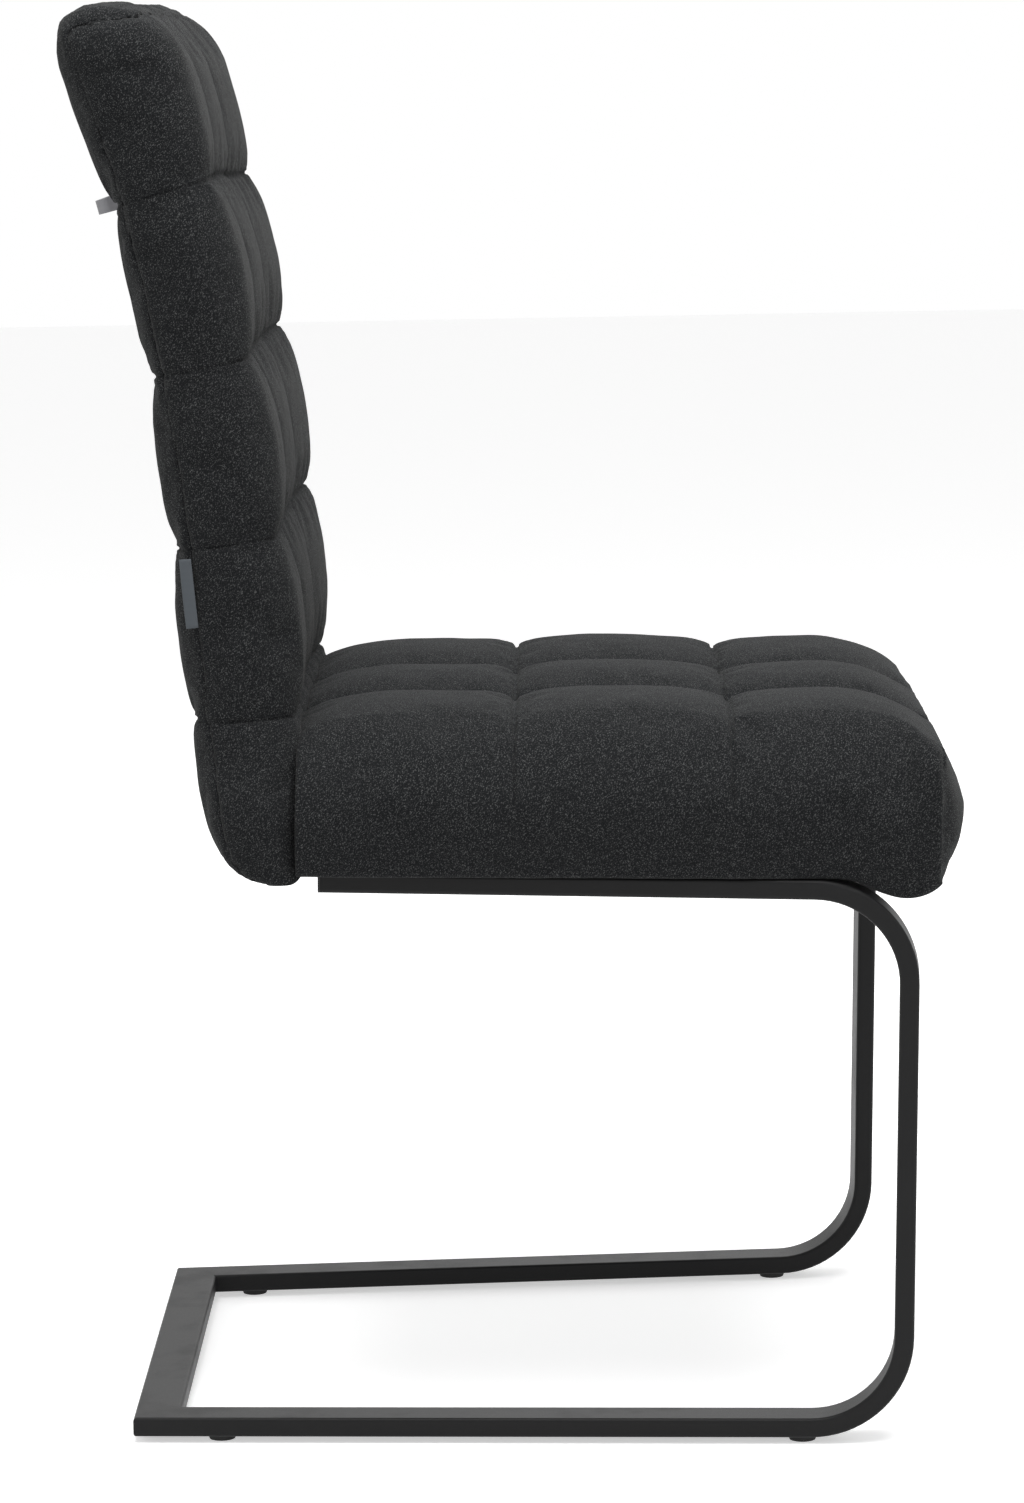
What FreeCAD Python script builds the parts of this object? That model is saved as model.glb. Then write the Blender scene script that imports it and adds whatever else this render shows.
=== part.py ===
import FreeCAD, Part
import Sketcher
import math
import os

from FreeCAD import Placement, Rotation, Vector

# Upholstered cantilever chair. Millimetres, +Z up, the sitter faces -Y.
# The origin is on the floor, under the middle of the chair.
# Left and right are the sitter's own, so left is +X.

# Driving dimensions: alias, value, what it is.
SIZES = (
    ("tube_width", 32.0, "frame tube, across the side frame"),
    ("tube_thickness", 13.5, "frame tube, in the plane of the side frame"),
    ("tube_wall", 1.5, "wall of the frame tube"),
    ("tube_corner", 2.5, "outer corner radius of the frame tube"),
    ("bend_radius", 64.75, "centre line radius of both bends"),
    ("base_half_width", 221.3, "rear corner of the base, from the middle to the outer face"),
    ("base_rear", 275.5, "rear face of the base, behind the origin"),
    ("base_straight", 469.0, "straight run on the floor, from rear corner to bend"),
    ("leg_straight", 245.1, "straight run of the leg between the bends"),
    ("rail_straight", 337.0, "straight run of the rail under the seat"),
    ("toe_angle", 3.86, "each side frame turned outward towards the front, degrees"),
    ("leg_lean", 1.3, "leg leans forward, degrees"),
    ("rail_drop", 1.2, "rail slopes down to the front, degrees"),
    ("glide_height", 4.5, "height of a glide under the tube"),
    ("glide_radius", 10.5, "glide at the tube"),
    ("glide_foot_radius", 9.0, "glide at the floor"),
    ("glide_stem_radius", 4.0, "stem of a glide"),
    ("glide_stem_length", 8.0, "stem of a glide inside the tube"),
    ("glide_rear_run", 60.0, "rear glide from the rear corner, along the tube"),
    ("glide_front_run", 6.0, "front glide behind the start of the bend"),
    ("press_clearance", 0.05, "radial clearance of pressed-in stems and nuts"),
    ("plug_flange", 1.5, "flange of a tube plug"),
    ("plug_length", 12.0, "body of a tube plug inside the tube"),
    ("plug_clearance", 0.2, "plug body to the tube wall"),
    ("strap_width", 30.0, "cross strap between the rails"),
    ("strap_thickness", 4.0, "cross strap between the rails"),
    ("strap_front_run", 45.0, "front cross strap, behind the bend"),
    ("strap_rear_run", 262.0, "rear cross strap, behind the bend"),
    ("bolt_front_run", 90.0, "front seat bolt, behind the bend"),
    ("bolt_rear_run", 300.0, "rear seat bolt, behind the bend"),
    ("bolt_radius", 3.0, "M6 bolts"),
    ("hole_clearance", 0.5, "bolts and screws in their holes"),
    ("bolt_head_radius", 6.0, "button head of an M6 bolt"),
    ("bolt_head_height", 3.3, "button head of an M6 bolt"),
    ("washer_radius", 7.5, "plain washer"),
    ("washer_thickness", 1.2, "plain washer"),
    ("nut_barrel_radius", 4.2, "barrel of a T-nut"),
    ("nut_barrel_length", 9.0, "barrel of a T-nut"),
    ("nut_flange_radius", 9.5, "flange of a T-nut"),
    ("nut_flange_thickness", 1.4, "flange of a T-nut"),
    ("rest_clearance", 0.1, "seat hem over the rails"),
    ("hem_thickness", 1.2, "fabric hem and dust cover under the board"),
    ("hem_width", 32.0, "hem turned in under the seat board"),
    ("dust_clearance", 0.5, "dust cover inside the hem"),
    ("board_thickness", 15.0, "plywood seat board"),
    ("board_overhang", 21.7, "seat board beyond the rear corner of the base, on each side"),
    ("board_front", 262.0, "seat board in front of the origin"),
    ("board_rear", 172.0, "seat board behind the origin, under the back"),
    ("board_corner", 25.0, "corner radius of the seat board"),
    ("seat_rear", 152.5, "rear face of the seat cushion, behind the origin"),
    ("seat_row", 148.0, "pitch of the lateral seams on the seat"),
    ("column_width", 147.0, "pitch of the lengthwise seams"),
    ("seat_front", 305.0, "front of the seat cushion, before the origin"),
    ("seat_crest", 118.0, "crown of a seat cell above the rails"),
    ("seam_sink", 15.0, "lengthwise seam below the crown"),
    ("cross_seam_sink", 5.0, "lateral seam below the crown"),
    ("tuft_sink", 25.0, "crossing of two seams below the crown"),
    ("seat_rear_sink", 17.0, "rear edge of the cushion below the crown"),
    ("seat_side_padding", 8.0, "foot of the seat's sides, beyond the board"),
    ("seat_side_batter", 11.0, "top of the seat's sides, inside their foot"),
    ("seat_side_crown", 12.0, "outward crown of the seat's sides"),
    ("seat_shoulder", 28.0, "width of the rounded edge along the seat's top"),
    ("seat_shoulder_drop", 12.0, "inner end of the rounded edge, below the crown"),
    ("seat_flank_drop", 40.0, "outer end of the rounded edge, below the crown"),
    ("seat_shoulder_bulge", 7.0, "bulge of the rounded edge over its chord"),
    ("seat_nose_start", 215.0, "front roll starts before the origin"),
    ("seat_nose_height", 42.0, "foremost line of the front roll above the rails"),
    ("seat_nose_corner", 35.0, "corner radius of the front roll, seen from above"),
    ("seat_lip_front", 262.0, "lowest line of the front roll, before the origin"),
    ("seat_lip", 13.0, "front roll hangs below the rails' top"),
    ("cushion_clearance", 0.3, "gap between soft pieces and their neighbours"),
    ("cover_wall", 2.1, "fabric behind the seat foam"),
    ("seat_foam_inset", 21.0, "side of the seat foam, inside the board"),
    ("seat_foam_height", 64.0, "seat foam above the board"),
    ("seat_foam_front", 268.0, "seat foam in front of the origin"),
    ("back_setback", 188.2, "middle of the back at the top of its foot, behind the origin along the seat"),
    ("back_foot", 105.0, "height of the back's straight foot above the rails"),
    ("back_lean", 2.8, "lean of the back's straight foot, from square to the seat"),
    ("back_radius", 1640.0, "radius of the back's rearward curve"),
    ("back_row", 120.0, "pitch of the lateral seams on the back"),
    ("back_top_row", 131.0, "top row of the back"),
    ("back_shoulder", 40.0, "rounded top of the back, along its height"),
    ("back_side_step", 16.0, "sides of the back, inside the foot of the seat's sides"),
    ("back_foot_spread", 21.0, "the foot of the back widens to the seat"),
    ("back_cross_sink", 6.0, "lateral seams of the back below the crown"),
    ("back_tuft_sink", 10.5, "crossing of two seams below the crown"),
    ("back_seam_depth", 37.5, "lengthwise seams of the back, from its middle surface"),
    ("back_crest_depth", 43.5, "crown of a cell of the back, from its middle surface"),
    ("back_side_crown", 3.0, "outward crown of the back's sides"),
    ("back_front_corner", 27.0, "front corner radius of the back"),
    ("back_rear_corner", 14.0, "rear corner radius of the back"),
    ("back_round", 55.0, "rounding under the back, along its height"),
    ("back_side_padding", 16.0, "sides of the back, beyond its board and foam"),
    ("back_core_front", 29.0, "front of the back's foam, from its middle surface"),
    ("back_core_rear", 31.0, "rear of the back's foam, from its middle surface"),
    ("back_core_end", 26.0, "foam below the top of the back"),
    ("back_board_front", 8.0, "front of the back board, from its middle surface"),
    ("back_board_thickness", 12.0, "plywood back board"),
    ("back_board_low", 28.0, "lower end of the back board above the rails"),
    ("seam_line", 26.0, "seam of front and rear cover on the sides, from the middle surface"),
    ("top_seam", 25.0, "seam of front and rear cover along the top, below the top"),
    ("bracket_width", 40.0, "steel angle between seat board and back board"),
    ("bracket_thickness", 4.0, "steel angle between seat board and back board"),
    ("bracket_foot", 92.0, "leg of the angle on the seat board"),
    ("bracket_rise", 84.0, "leg of the angle on the back board"),
    ("bracket_spread", 110.0, "each angle from the middle"),
    ("foot_bolt_near", 34.0, "first bolt of a bracket's lower leg, from its bend"),
    ("foot_bolt_far", 76.0, "second bolt of a bracket's lower leg, from its bend"),
    ("rise_bolt_near", 26.0, "first bolt of a bracket's upper leg, from its bend"),
    ("rise_bolt_far", 68.0, "second bolt of a bracket's upper leg, from its bend"),
    ("handle_spacing", 128.0, "screw spacing of the bow handle"),
    ("handle_bar", 10.0, "height of the bow handle's bar, and width of its legs"),
    ("handle_grip", 5.5, "depth of the bow handle's bar"),
    ("handle_reach", 56.0, "outer face of the bow handle, from the back's middle surface"),
    ("handle_bend", 9.0, "outer bend radius of the bow handle"),
    ("screw_radius", 2.0, "M4 screws of the handle"),
    ("screw_depth", 14.0, "thread of an M4 screw inside a handle leg"),
    ("screw_head_radius", 4.0, "head of an M4 screw"),
    ("screw_head_height", 2.4, "head of an M4 screw"),
    ("label_width", 10.0, "sewn-in tab at the rear seam"),
    ("label_length", 47.0, "sewn-in tab at the rear seam"),
    ("label_thickness", 0.9, "sewn-in tab at the rear seam"),
    ("label_height", 66.0, "lower end of the tab above the back's straight foot"),
)

# Widths that follow the frame: alias, formula, what it is.
FOLLOWING = (
    ("board_half_width", "=base_half_width + board_overhang", "plywood seat board"),
    ("seat_half_bottom", "=board_half_width + seat_side_padding", "foot of the seat's sides"),
    ("seat_half_top", "=seat_half_bottom - seat_side_batter", "top of the seat's sides"),
    ("seat_foam_half_width", "=board_half_width - seat_foam_inset", "seat foam"),
    ("back_half_width", "=seat_half_bottom - back_side_step", "half width of the back"),
    ("back_core_half_width", "=back_half_width - back_side_padding", "board and foam inside the back"),
)

doc = FreeCAD.newDocument("cantilever_chair")
sheet = doc.addObject("Spreadsheet::Sheet", "sizes")
for line, (alias, value, note) in enumerate(SIZES + FOLLOWING, start=1):
    sheet.set(f"A{line}", alias)
    sheet.set(f"B{line}", str(value))
    sheet.setAlias(f"B{line}", alias)
    sheet.set(f"C{line}", note)
doc.recompute()


def size(alias):
    """The value of one cell of the sheet."""
    return float(getattr(sheet, alias))


SIDES = (("left", 1), ("right", -1))
pieces = []


# Places shared by several pieces

toe = math.radians(size("toe_angle"))
lean = math.radians(size("leg_lean"))
drop = math.radians(size("rail_drop"))
half_tube = size("tube_width") / 2
half_thickness = size("tube_thickness") / 2
base_middle = size("glide_height") + half_thickness

# Centre of the upper bend in a side frame's own plane: run from the rear corner, and height.
bend_run = size("base_straight") + size("leg_straight") * math.sin(lean)
bend_height = base_middle + size("bend_radius") + size("leg_straight") * math.cos(lean)
outer_bend = size("bend_radius") + half_thickness

# The rails' top is a plane that slopes down to the front, and the seat sits on it.
corner_y = size("base_rear") - half_tube * math.sin(toe)
origin_run = corner_y / math.cos(toe)
rail_top = (
    bend_height
    + outer_bend * math.cos(drop)
    + (bend_run + outer_bend * math.sin(drop) - origin_run) * math.tan(drop)
)
seat_tilt = math.atan(math.tan(drop) / math.cos(toe))
seat_height = rail_top + size("rest_clearance")
seat_place = Placement(Vector(0, 0, seat_height), Rotation(Vector(1, 0, 0), math.degrees(seat_tilt)))

# The back stands on the same plane. Its own frame has y through the back and z up along it.
back_in_seat = Placement(
    Vector(0, size("back_setback"), size("back_foot")),
    Rotation(Vector(1, 0, 0), -size("back_lean")),
)
back_place = seat_place.multiply(back_in_seat)
back_top = 3 * size("back_row") + size("back_top_row")


def side_place(sign):
    """Placement of a side frame: own x runs forward along the floor, own z up."""
    corner_x = sign * (size("base_half_width") - half_tube * math.cos(toe))
    turn = -90 + sign * size("toe_angle")
    return Placement(Vector(corner_x, corner_y, 0), Rotation(Vector(0, 0, 1), turn))


def rail_point(sign, run):
    """Point of the seat plane over a rail's middle, a run behind the upper bend's centre."""
    point = side_place(sign).multVec(Vector(bend_run - run, 0, 0))
    return Vector(point.x, point.y / math.cos(seat_tilt), 0)


def back_point(x, depth, rise):
    """Point of the back's frame: depth behind its middle surface, rise along it."""
    if rise <= 0:
        return Vector(x, depth, rise)
    turn = rise / size("back_radius")
    reach = size("back_radius") - depth
    return Vector(x, size("back_radius") - reach * math.cos(turn), reach * math.sin(turn))


def back_spot(x, depth, rise):
    """Placement on the back's middle surface, with y out of the rear and z along the surface."""
    turn = math.degrees(rise / size("back_radius"))
    local = Placement(back_point(x, depth, rise), Rotation(Vector(1, 0, 0), -turn))
    return back_place.multiply(local)


# Helpers for sketches and features

def new_body(label, place):
    """An empty body, listed as a piece of the chair."""
    body = doc.addObject("PartDesign::Body", label)
    body.Label = label
    body.Placement = place
    pieces.append(body)
    return body


def sketch_on(body, role, name, height=None):
    """A sketch on one of the body's own origin planes, raised by an expression if one is given."""
    sketch = body.newObject("Sketcher::SketchObject", f"{body.Name}_{name}")
    plane = next(item for item in body.Origin.OriginFeatures if item.Role == role)
    sketch.AttachmentSupport = [(plane, "")]
    sketch.MapMode = "FlatFace"
    if height:
        sketch.setExpression("AttachmentOffset.Base.z", height)
    return sketch


def constrain(sketch, kind, places, cell):
    """A dimension of a sketch, bound to the sheet."""
    number = sketch.addConstraint(Sketcher.Constraint(kind, *places, 1.0))
    sketch.setExpression(f"Constraints[{number}]", cell)


def polygon(sketch, corners):
    """A closed outline whose corners are pairs of expressions."""
    count = len(corners)
    first = sketch.GeometryCount
    ring = [
        Vector(math.cos(2 * math.pi * step / count), math.sin(2 * math.pi * step / count), 0)
        for step in range(count)
    ]
    for step in range(count):
        sketch.addGeometry(Part.LineSegment(ring[step], ring[(step + 1) % count]), False)
    for step in range(count):
        following = first + (step + 1) % count
        sketch.addConstraint(Sketcher.Constraint("Coincident", first + step, 2, following, 1))
    for step, (across, up) in enumerate(corners):
        constrain(sketch, "DistanceX", (-1, 1, first + step, 1), across)
        constrain(sketch, "DistanceY", (-1, 1, first + step, 1), up)


def circle(sketch, across, up, radius):
    """A circle placed and sized by expressions."""
    number = sketch.addGeometry(Part.Circle(Vector(0, 0, 0), Vector(0, 0, 1), 1), False)
    constrain(sketch, "DistanceX", (-1, 1, number, 3), across)
    constrain(sketch, "DistanceY", (-1, 1, number, 3), up)
    constrain(sketch, "Radius", (number,), radius)


def feature(body, kind, name, sketch, **settings):
    """A sketch-based feature of a body. Text settings are expressions."""
    item = body.newObject(f"PartDesign::{kind}", f"{body.Name}_{name}")
    item.Profile = sketch
    for key, value in settings.items():
        if isinstance(value, str):
            item.setExpression(key, value)
        else:
            setattr(item, key, value)
    return item


def fillet_upright(body, name, radius, chosen=None):
    """Round the body's upright edges, or those whose foot passes a test."""
    doc.recompute()
    upright = []
    for number, edge in enumerate(body.Shape.Edges, start=1):
        start = body.Placement.inverse().multVec(edge.Vertexes[0].Point)
        end = body.Placement.inverse().multVec(edge.Vertexes[-1].Point)
        level = abs(start.x - end.x) < 1e-6 and abs(start.y - end.y) < 1e-6
        if level and edge.Length > 1e-3 and (chosen is None or chosen(start)):
            upright.append(f"Edge{number}")
    solid = body.Tip
    item = body.newObject("PartDesign::Fillet", f"{body.Name}_{name}")
    item.Base = (solid, upright)
    item.setExpression("Radius", radius)
    return item


def soft_piece(label, shape, place):
    """A piece made by Part's own functions, placed after its shape."""
    item = doc.addObject("Part::Feature", label)
    item.Label = label
    item.Shape = shape
    item.Placement = place
    pieces.append(item)
    return item


def arc(first, middle, last):
    """An edge through three points."""
    return Part.Arc(first, middle, last).toShape()


def straight(first, last):
    """A straight edge."""
    return Part.LineSegment(first, last).toShape()


def rounded_rectangle(sketch, numbers, cells, middle, middle_cell):
    """A rectangle with round corners, its middle on the upright axis at a height."""
    width, height, radius = numbers
    width_cell, height_cell, radius_cell = cells
    first = sketch.GeometryCount
    corners = ((1, -1), (1, 1), (-1, 1), (-1, -1))
    for step, (across, up) in enumerate(corners):
        next_across, next_up = corners[(step + 1) % 4]
        start = Vector(across * width / 2, middle + up * height / 2, 0)
        end = Vector(next_across * width / 2, middle + next_up * height / 2, 0)
        along = (end - start).normalize() * radius
        sketch.addGeometry(Part.LineSegment(start + along, end - along), False)
        centre = Vector(next_across * (width / 2 - radius), middle + next_up * (height / 2 - radius), 0)
        quarter = Part.Circle(centre, Vector(0, 0, 1), radius)
        sweep = step * math.pi / 2
        sketch.addGeometry(Part.ArcOfCircle(quarter, sweep, sweep + math.pi / 2), False)
    for step in range(4):
        side = first + 2 * step
        following = first + (2 * step + 2) % 8
        sketch.addConstraint(Sketcher.Constraint("Tangent", side, 2, side + 1, 1))
        sketch.addConstraint(Sketcher.Constraint("Tangent", side + 1, 2, following, 1))
        if step:
            sketch.addConstraint(Sketcher.Constraint("Equal", first + 1, side + 1))
    sketch.addConstraint(Sketcher.Constraint("Vertical", first))
    sketch.addConstraint(Sketcher.Constraint("Horizontal", first + 2))
    sketch.addConstraint(Sketcher.Constraint("Vertical", first + 4))
    sketch.addConstraint(Sketcher.Constraint("Horizontal", first + 6))
    constrain(sketch, "Radius", (first + 1,), radius_cell)
    constrain(sketch, "DistanceX", (-1, 1, first, 1), f"({width_cell}) / 2")
    constrain(sketch, "DistanceX", (-1, 1, first + 4, 1), f"-({width_cell}) / 2")
    constrain(sketch, "DistanceY", (-1, 1, first + 2, 1), f"{middle_cell} + ({height_cell}) / 2")
    constrain(sketch, "DistanceY", (-1, 1, first + 6, 1), f"{middle_cell} - ({height_cell}) / 2")


# Side frames: one bent rectangular tube each

TUBE_SECTION = (
    ("sizes.tube_width", "sizes.tube_thickness", "sizes.tube_corner"),
    (
        "sizes.tube_width - 2 * sizes.tube_wall",
        "sizes.tube_thickness - 2 * sizes.tube_wall",
        "sizes.tube_corner - sizes.tube_wall",
    ),
)
TUBE_NUMBERS = (
    (size("tube_width"), size("tube_thickness"), size("tube_corner")),
    (
        size("tube_width") - 2 * size("tube_wall"),
        size("tube_thickness") - 2 * size("tube_wall"),
        size("tube_corner") - size("tube_wall"),
    ),
)
BASE_MIDDLE = "(sizes.glide_height + sizes.tube_thickness / 2)"
BEND_RUN = "(sizes.base_straight + sizes.leg_straight * sin(sizes.leg_lean * 1 deg))"
BOLT_RUNS = ("bolt_front_run", "bolt_rear_run")
MITRE_RUN = "(sizes.tube_width * (1 - sin(sizes.toe_angle * 1 deg)) / cos(sizes.toe_angle * 1 deg))"


def rail_cells(sign, run):
    """The expressions of rail_point: where a rail's middle lies in the seat's frame."""
    forward = f"({BEND_RUN} - {run})"
    across = (
        f"{sign} * (sizes.base_half_width - sizes.tube_width / 2 * cos(sizes.toe_angle * 1 deg)"
        f" + {forward} * sin(sizes.toe_angle * 1 deg))"
    )
    along = (
        f"sizes.base_rear - sizes.tube_width / 2 * sin(sizes.toe_angle * 1 deg)"
        f" - {forward} * cos(sizes.toe_angle * 1 deg)"
    )
    return across, along


# The path of a side frame, leg by leg: angle from the floor, and the bend's turn that follows.
LEG_ANGLE = "(90 - sizes.leg_lean)"
RAIL_ANGLE = "(180 - sizes.rail_drop)"
leg_angle = 90 - size("leg_lean")
rail_angle = 180 - size("rail_drop")


def tube_section(body, name, spot=("0", BASE_MIDDLE), angle=(0, "0"), bend=False):
    """Cross section of the frame tube at a point of its path, square to it, with a bend's axis."""
    sketch = sketch_on(body, "YZ_Plane", name)
    sketch.AttachmentOffset = Placement(Vector(0, 0, 0), Rotation(Vector(1, 0, 0), -angle[0]))
    sketch.setExpression("AttachmentOffset.Base.z", spot[0])
    sketch.setExpression("AttachmentOffset.Base.y", spot[1])
    sketch.setExpression("AttachmentOffset.Rotation.Angle", f"-{angle[1]}")
    for numbers, cells in zip(TUBE_NUMBERS, TUBE_SECTION):
        rounded_rectangle(sketch, numbers, cells, 0, "0")
    if bend:
        reach = size("tube_width")
        start = Vector(-reach, size("bend_radius"), 0)
        number = sketch.addGeometry(Part.LineSegment(start, Vector(reach, start.y, 0)), True)
        sketch.addConstraint(Sketcher.Constraint("Horizontal", number))
        constrain(sketch, "DistanceX", (-1, 1, number, 1), "-sizes.tube_width")
        constrain(sketch, "DistanceX", (-1, 1, number, 2), "sizes.tube_width")
        constrain(sketch, "DistanceY", (-1, 1, number, 1), "sizes.bend_radius")
    return sketch


def bend_spot(run, height, angle):
    """Expressions of the point where a bend's centre line has an angle, from the bend's centre."""
    across = f"{run} + sizes.bend_radius * sin({angle} * 1 deg)"
    up = f"{height} - sizes.bend_radius * cos({angle} * 1 deg)"
    return across, up


def side_tube(label, sign):
    """One side frame, mitred at the rear, with its bolt holes and glide holes."""
    body = new_body(label, side_place(sign))
    low_height = f"({BASE_MIDDLE} + sizes.bend_radius)"
    high_height = f"({low_height} + sizes.leg_straight * cos(sizes.leg_lean * 1 deg))"
    leg_turn = (leg_angle, LEG_ANGLE)
    rail_turn = (rail_angle, RAIL_ANGLE)
    floor_end = ("sizes.base_straight", BASE_MIDDLE)
    leg_start = bend_spot("sizes.base_straight", low_height, LEG_ANGLE)
    leg_end = bend_spot(BEND_RUN, high_height, LEG_ANGLE)
    rail_start = bend_spot(BEND_RUN, high_height, RAIL_ANGLE)
    feature(body, "Pad", "floor_run", tube_section(body, "floor_section"), Length="sizes.base_straight")
    low_bend = tube_section(body, "low_bend_section", floor_end, bend=True)
    feature(
        body, "Revolution", "low_bend", low_bend,
        ReferenceAxis=(low_bend, ["Axis0"]), Angle=LEG_ANGLE, Reversed=True,
    )
    leg = tube_section(body, "leg_section", leg_start, leg_turn)
    feature(body, "Pad", "leg", leg, Length="sizes.leg_straight")
    high_bend = tube_section(body, "high_bend_section", leg_end, leg_turn, bend=True)
    feature(
        body, "Revolution", "high_bend", high_bend,
        ReferenceAxis=(high_bend, ["Axis0"]), Angle=f"{RAIL_ANGLE} - {LEG_ANGLE}", Reversed=True,
    )
    rail = tube_section(body, "rail_section", rail_start, rail_turn)
    feature(body, "Pad", "rail", rail, Length="sizes.rail_straight")

    # The cut follows the line from the outer corner to the inner one, past the tube on both sides.
    mitre = sketch_on(body, "XY_Plane", "mitre")
    polygon(mitre, (
        (f"-{MITRE_RUN} / 2", f"{sign} * sizes.tube_width"),
        (f"1.5 * {MITRE_RUN}", f"-{sign} * sizes.tube_width"),
        (f"-{MITRE_RUN}", f"-{sign} * sizes.tube_width"),
        (f"-{MITRE_RUN}", f"{sign} * sizes.tube_width"),
    ))
    feature(body, "Pocket", "mitre_cut", mitre, Type=1, Midplane=True)

    # The seat bolts' heads sit inside the rail: a stem hole above, and a wider hole for the head below.
    for run in BOLT_RUNS:
        rail_middle = (
            f"{high_height} + sizes.bend_radius * cos(sizes.rail_drop * 1 deg)"
            f" + (sizes.{run} + sizes.bend_radius * sin(sizes.rail_drop * 1 deg))"
            " * tan(sizes.rail_drop * 1 deg)"
        )
        stem_hole = sketch_on(body, "XY_Plane", f"{run}_stem", rail_middle)
        circle(stem_hole, f"{BEND_RUN} - sizes.{run}", "0", "sizes.bolt_radius + sizes.hole_clearance")
        feature(body, "Pocket", f"{run}_stem_cut", stem_hole, Type=1, Reversed=True)
        head_hole = sketch_on(body, "XY_Plane", f"{run}_head", rail_middle)
        circle(head_hole, f"{BEND_RUN} - sizes.{run}", "0", "sizes.washer_radius + sizes.hole_clearance")
        feature(body, "Pocket", f"{run}_head_cut", head_hole, Length="sizes.tube_thickness")

    stems = sketch_on(body, "XY_Plane", "glide_holes")
    for run in ("sizes.glide_rear_run", "sizes.base_straight - sizes.glide_front_run"):
        circle(stems, run, "0", "sizes.glide_stem_radius + sizes.press_clearance")
    depth = "sizes.glide_height + 2 * sizes.tube_wall"
    feature(body, "Pocket", "glide_hole_cut", stems, Length=depth, Reversed=True)


for side, sign in SIDES:
    side_tube(f"side_tube_{side}", sign)


# Rear crossbar: the same tube across the floor, mitred to both side frames

crossbar = new_body("rear_crossbar", Placement(Vector(0, size("base_rear") - half_tube, 0), Rotation()))
feature(
    crossbar, "Pad", "bar", tube_section(crossbar, "section"),
    Midplane=True, Length="2 * sizes.base_half_width",
)
for side, sign in SIDES:
    corner = sketch_on(crossbar, "XY_Plane", f"mitre_{side}")
    polygon(corner, (
        (f"{sign} * (sizes.base_half_width + {MITRE_RUN} / 2)", "sizes.tube_width"),
        (f"{sign} * (sizes.base_half_width - 1.5 * {MITRE_RUN})", "-sizes.tube_width"),
        (f"{sign} * (sizes.base_half_width + {MITRE_RUN})", "-sizes.tube_width"),
        (f"{sign} * (sizes.base_half_width + {MITRE_RUN})", "sizes.tube_width"),
    ))
    feature(crossbar, "Pocket", f"mitre_cut_{side}", corner, Type=1, Midplane=True)


# Cross straps: flat bars welded between the rails, flush with their tops

def cross_strap(label, run):
    """A flat bar between the rails' inner faces, cut to their angle."""
    body = new_body(label, seat_place)
    outline = sketch_on(body, "XY_Plane", "outline", "-sizes.rest_clearance - sizes.strap_thickness")
    middle = rail_cells(1, run)[1]
    corners = []
    for across, along in ((-1, -1), (1, -1), (1, 1), (-1, 1)):
        place = f"({middle} + {along} * sizes.strap_width / 2)"
        reach = (
            f"(sizes.base_half_width + (sizes.base_rear - {place}) * tan(sizes.toe_angle * 1 deg)"
            f" - sizes.tube_width / cos(sizes.toe_angle * 1 deg) - sizes.press_clearance)"
        )
        corners.append((f"{across} * {reach}", place))
    polygon(outline, corners)
    feature(body, "Pad", "bar", outline, Length="sizes.strap_thickness")


cross_strap("front_cross_strap", "sizes.strap_front_run")
cross_strap("rear_cross_strap", "sizes.strap_rear_run")


# Plugs in the open rear ends of the rails

rail_middle = Vector(math.sin(drop), 0, math.cos(drop)) * size("bend_radius")
rail_out = Vector(-math.cos(drop), 0, math.sin(drop))
rail_end = Vector(bend_run, 0, bend_height) + rail_middle + rail_out * size("rail_straight")
plug_turn = Placement(rail_end, Rotation(Vector(0, 1, 0), 180 + size("rail_drop")))
for side, sign in SIDES:
    plug = new_body(f"tube_plug_{side}", side_place(sign).multiply(plug_turn))
    flange = sketch_on(plug, "YZ_Plane", "flange")
    rounded_rectangle(flange, TUBE_NUMBERS[0], TUBE_SECTION[0], 0, "0")
    feature(plug, "Pad", "flange_pad", flange, Length="sizes.plug_flange")
    core = sketch_on(plug, "YZ_Plane", "core")
    core_numbers = tuple(value - 2 * size("plug_clearance") for value in TUBE_NUMBERS[1][:2])
    core_cells = tuple(f"{cell} - 2 * sizes.plug_clearance" for cell in TUBE_SECTION[1][:2])
    rounded_rectangle(core, (*core_numbers, TUBE_NUMBERS[1][2]), (*core_cells, TUBE_SECTION[1][2]), 0, "0")
    feature(plug, "Pad", "core_pad", core, Length="sizes.plug_length", Reversed=True)


# Glides under the base

def glide(label, sign, run):
    """A tapered foot with a stem pressed into the tube."""
    body = new_body(label, side_place(sign).multiply(Placement(Vector(run, 0, 0), Rotation())))
    profile = sketch_on(body, "XZ_Plane", "profile")
    stem_top = "sizes.glide_height + sizes.glide_stem_length"
    polygon(profile, (
        ("0", "0"),
        ("sizes.glide_foot_radius", "0"),
        ("sizes.glide_radius", "sizes.glide_height"),
        ("sizes.glide_stem_radius", "sizes.glide_height"),
        ("sizes.glide_stem_radius", stem_top),
        ("0", stem_top),
    ))
    feature(body, "Revolution", "turned", profile, ReferenceAxis=(profile, ["V_Axis"]), Angle=360)


glide_runs = (("rear", size("glide_rear_run")), ("front", size("base_straight") - size("glide_front_run")))
for side, sign in SIDES:
    for end, run in glide_runs:
        glide(f"glide_{end}_{side}", sign, run)


# Seat board, with nut seats above the rails and below the brackets

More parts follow.
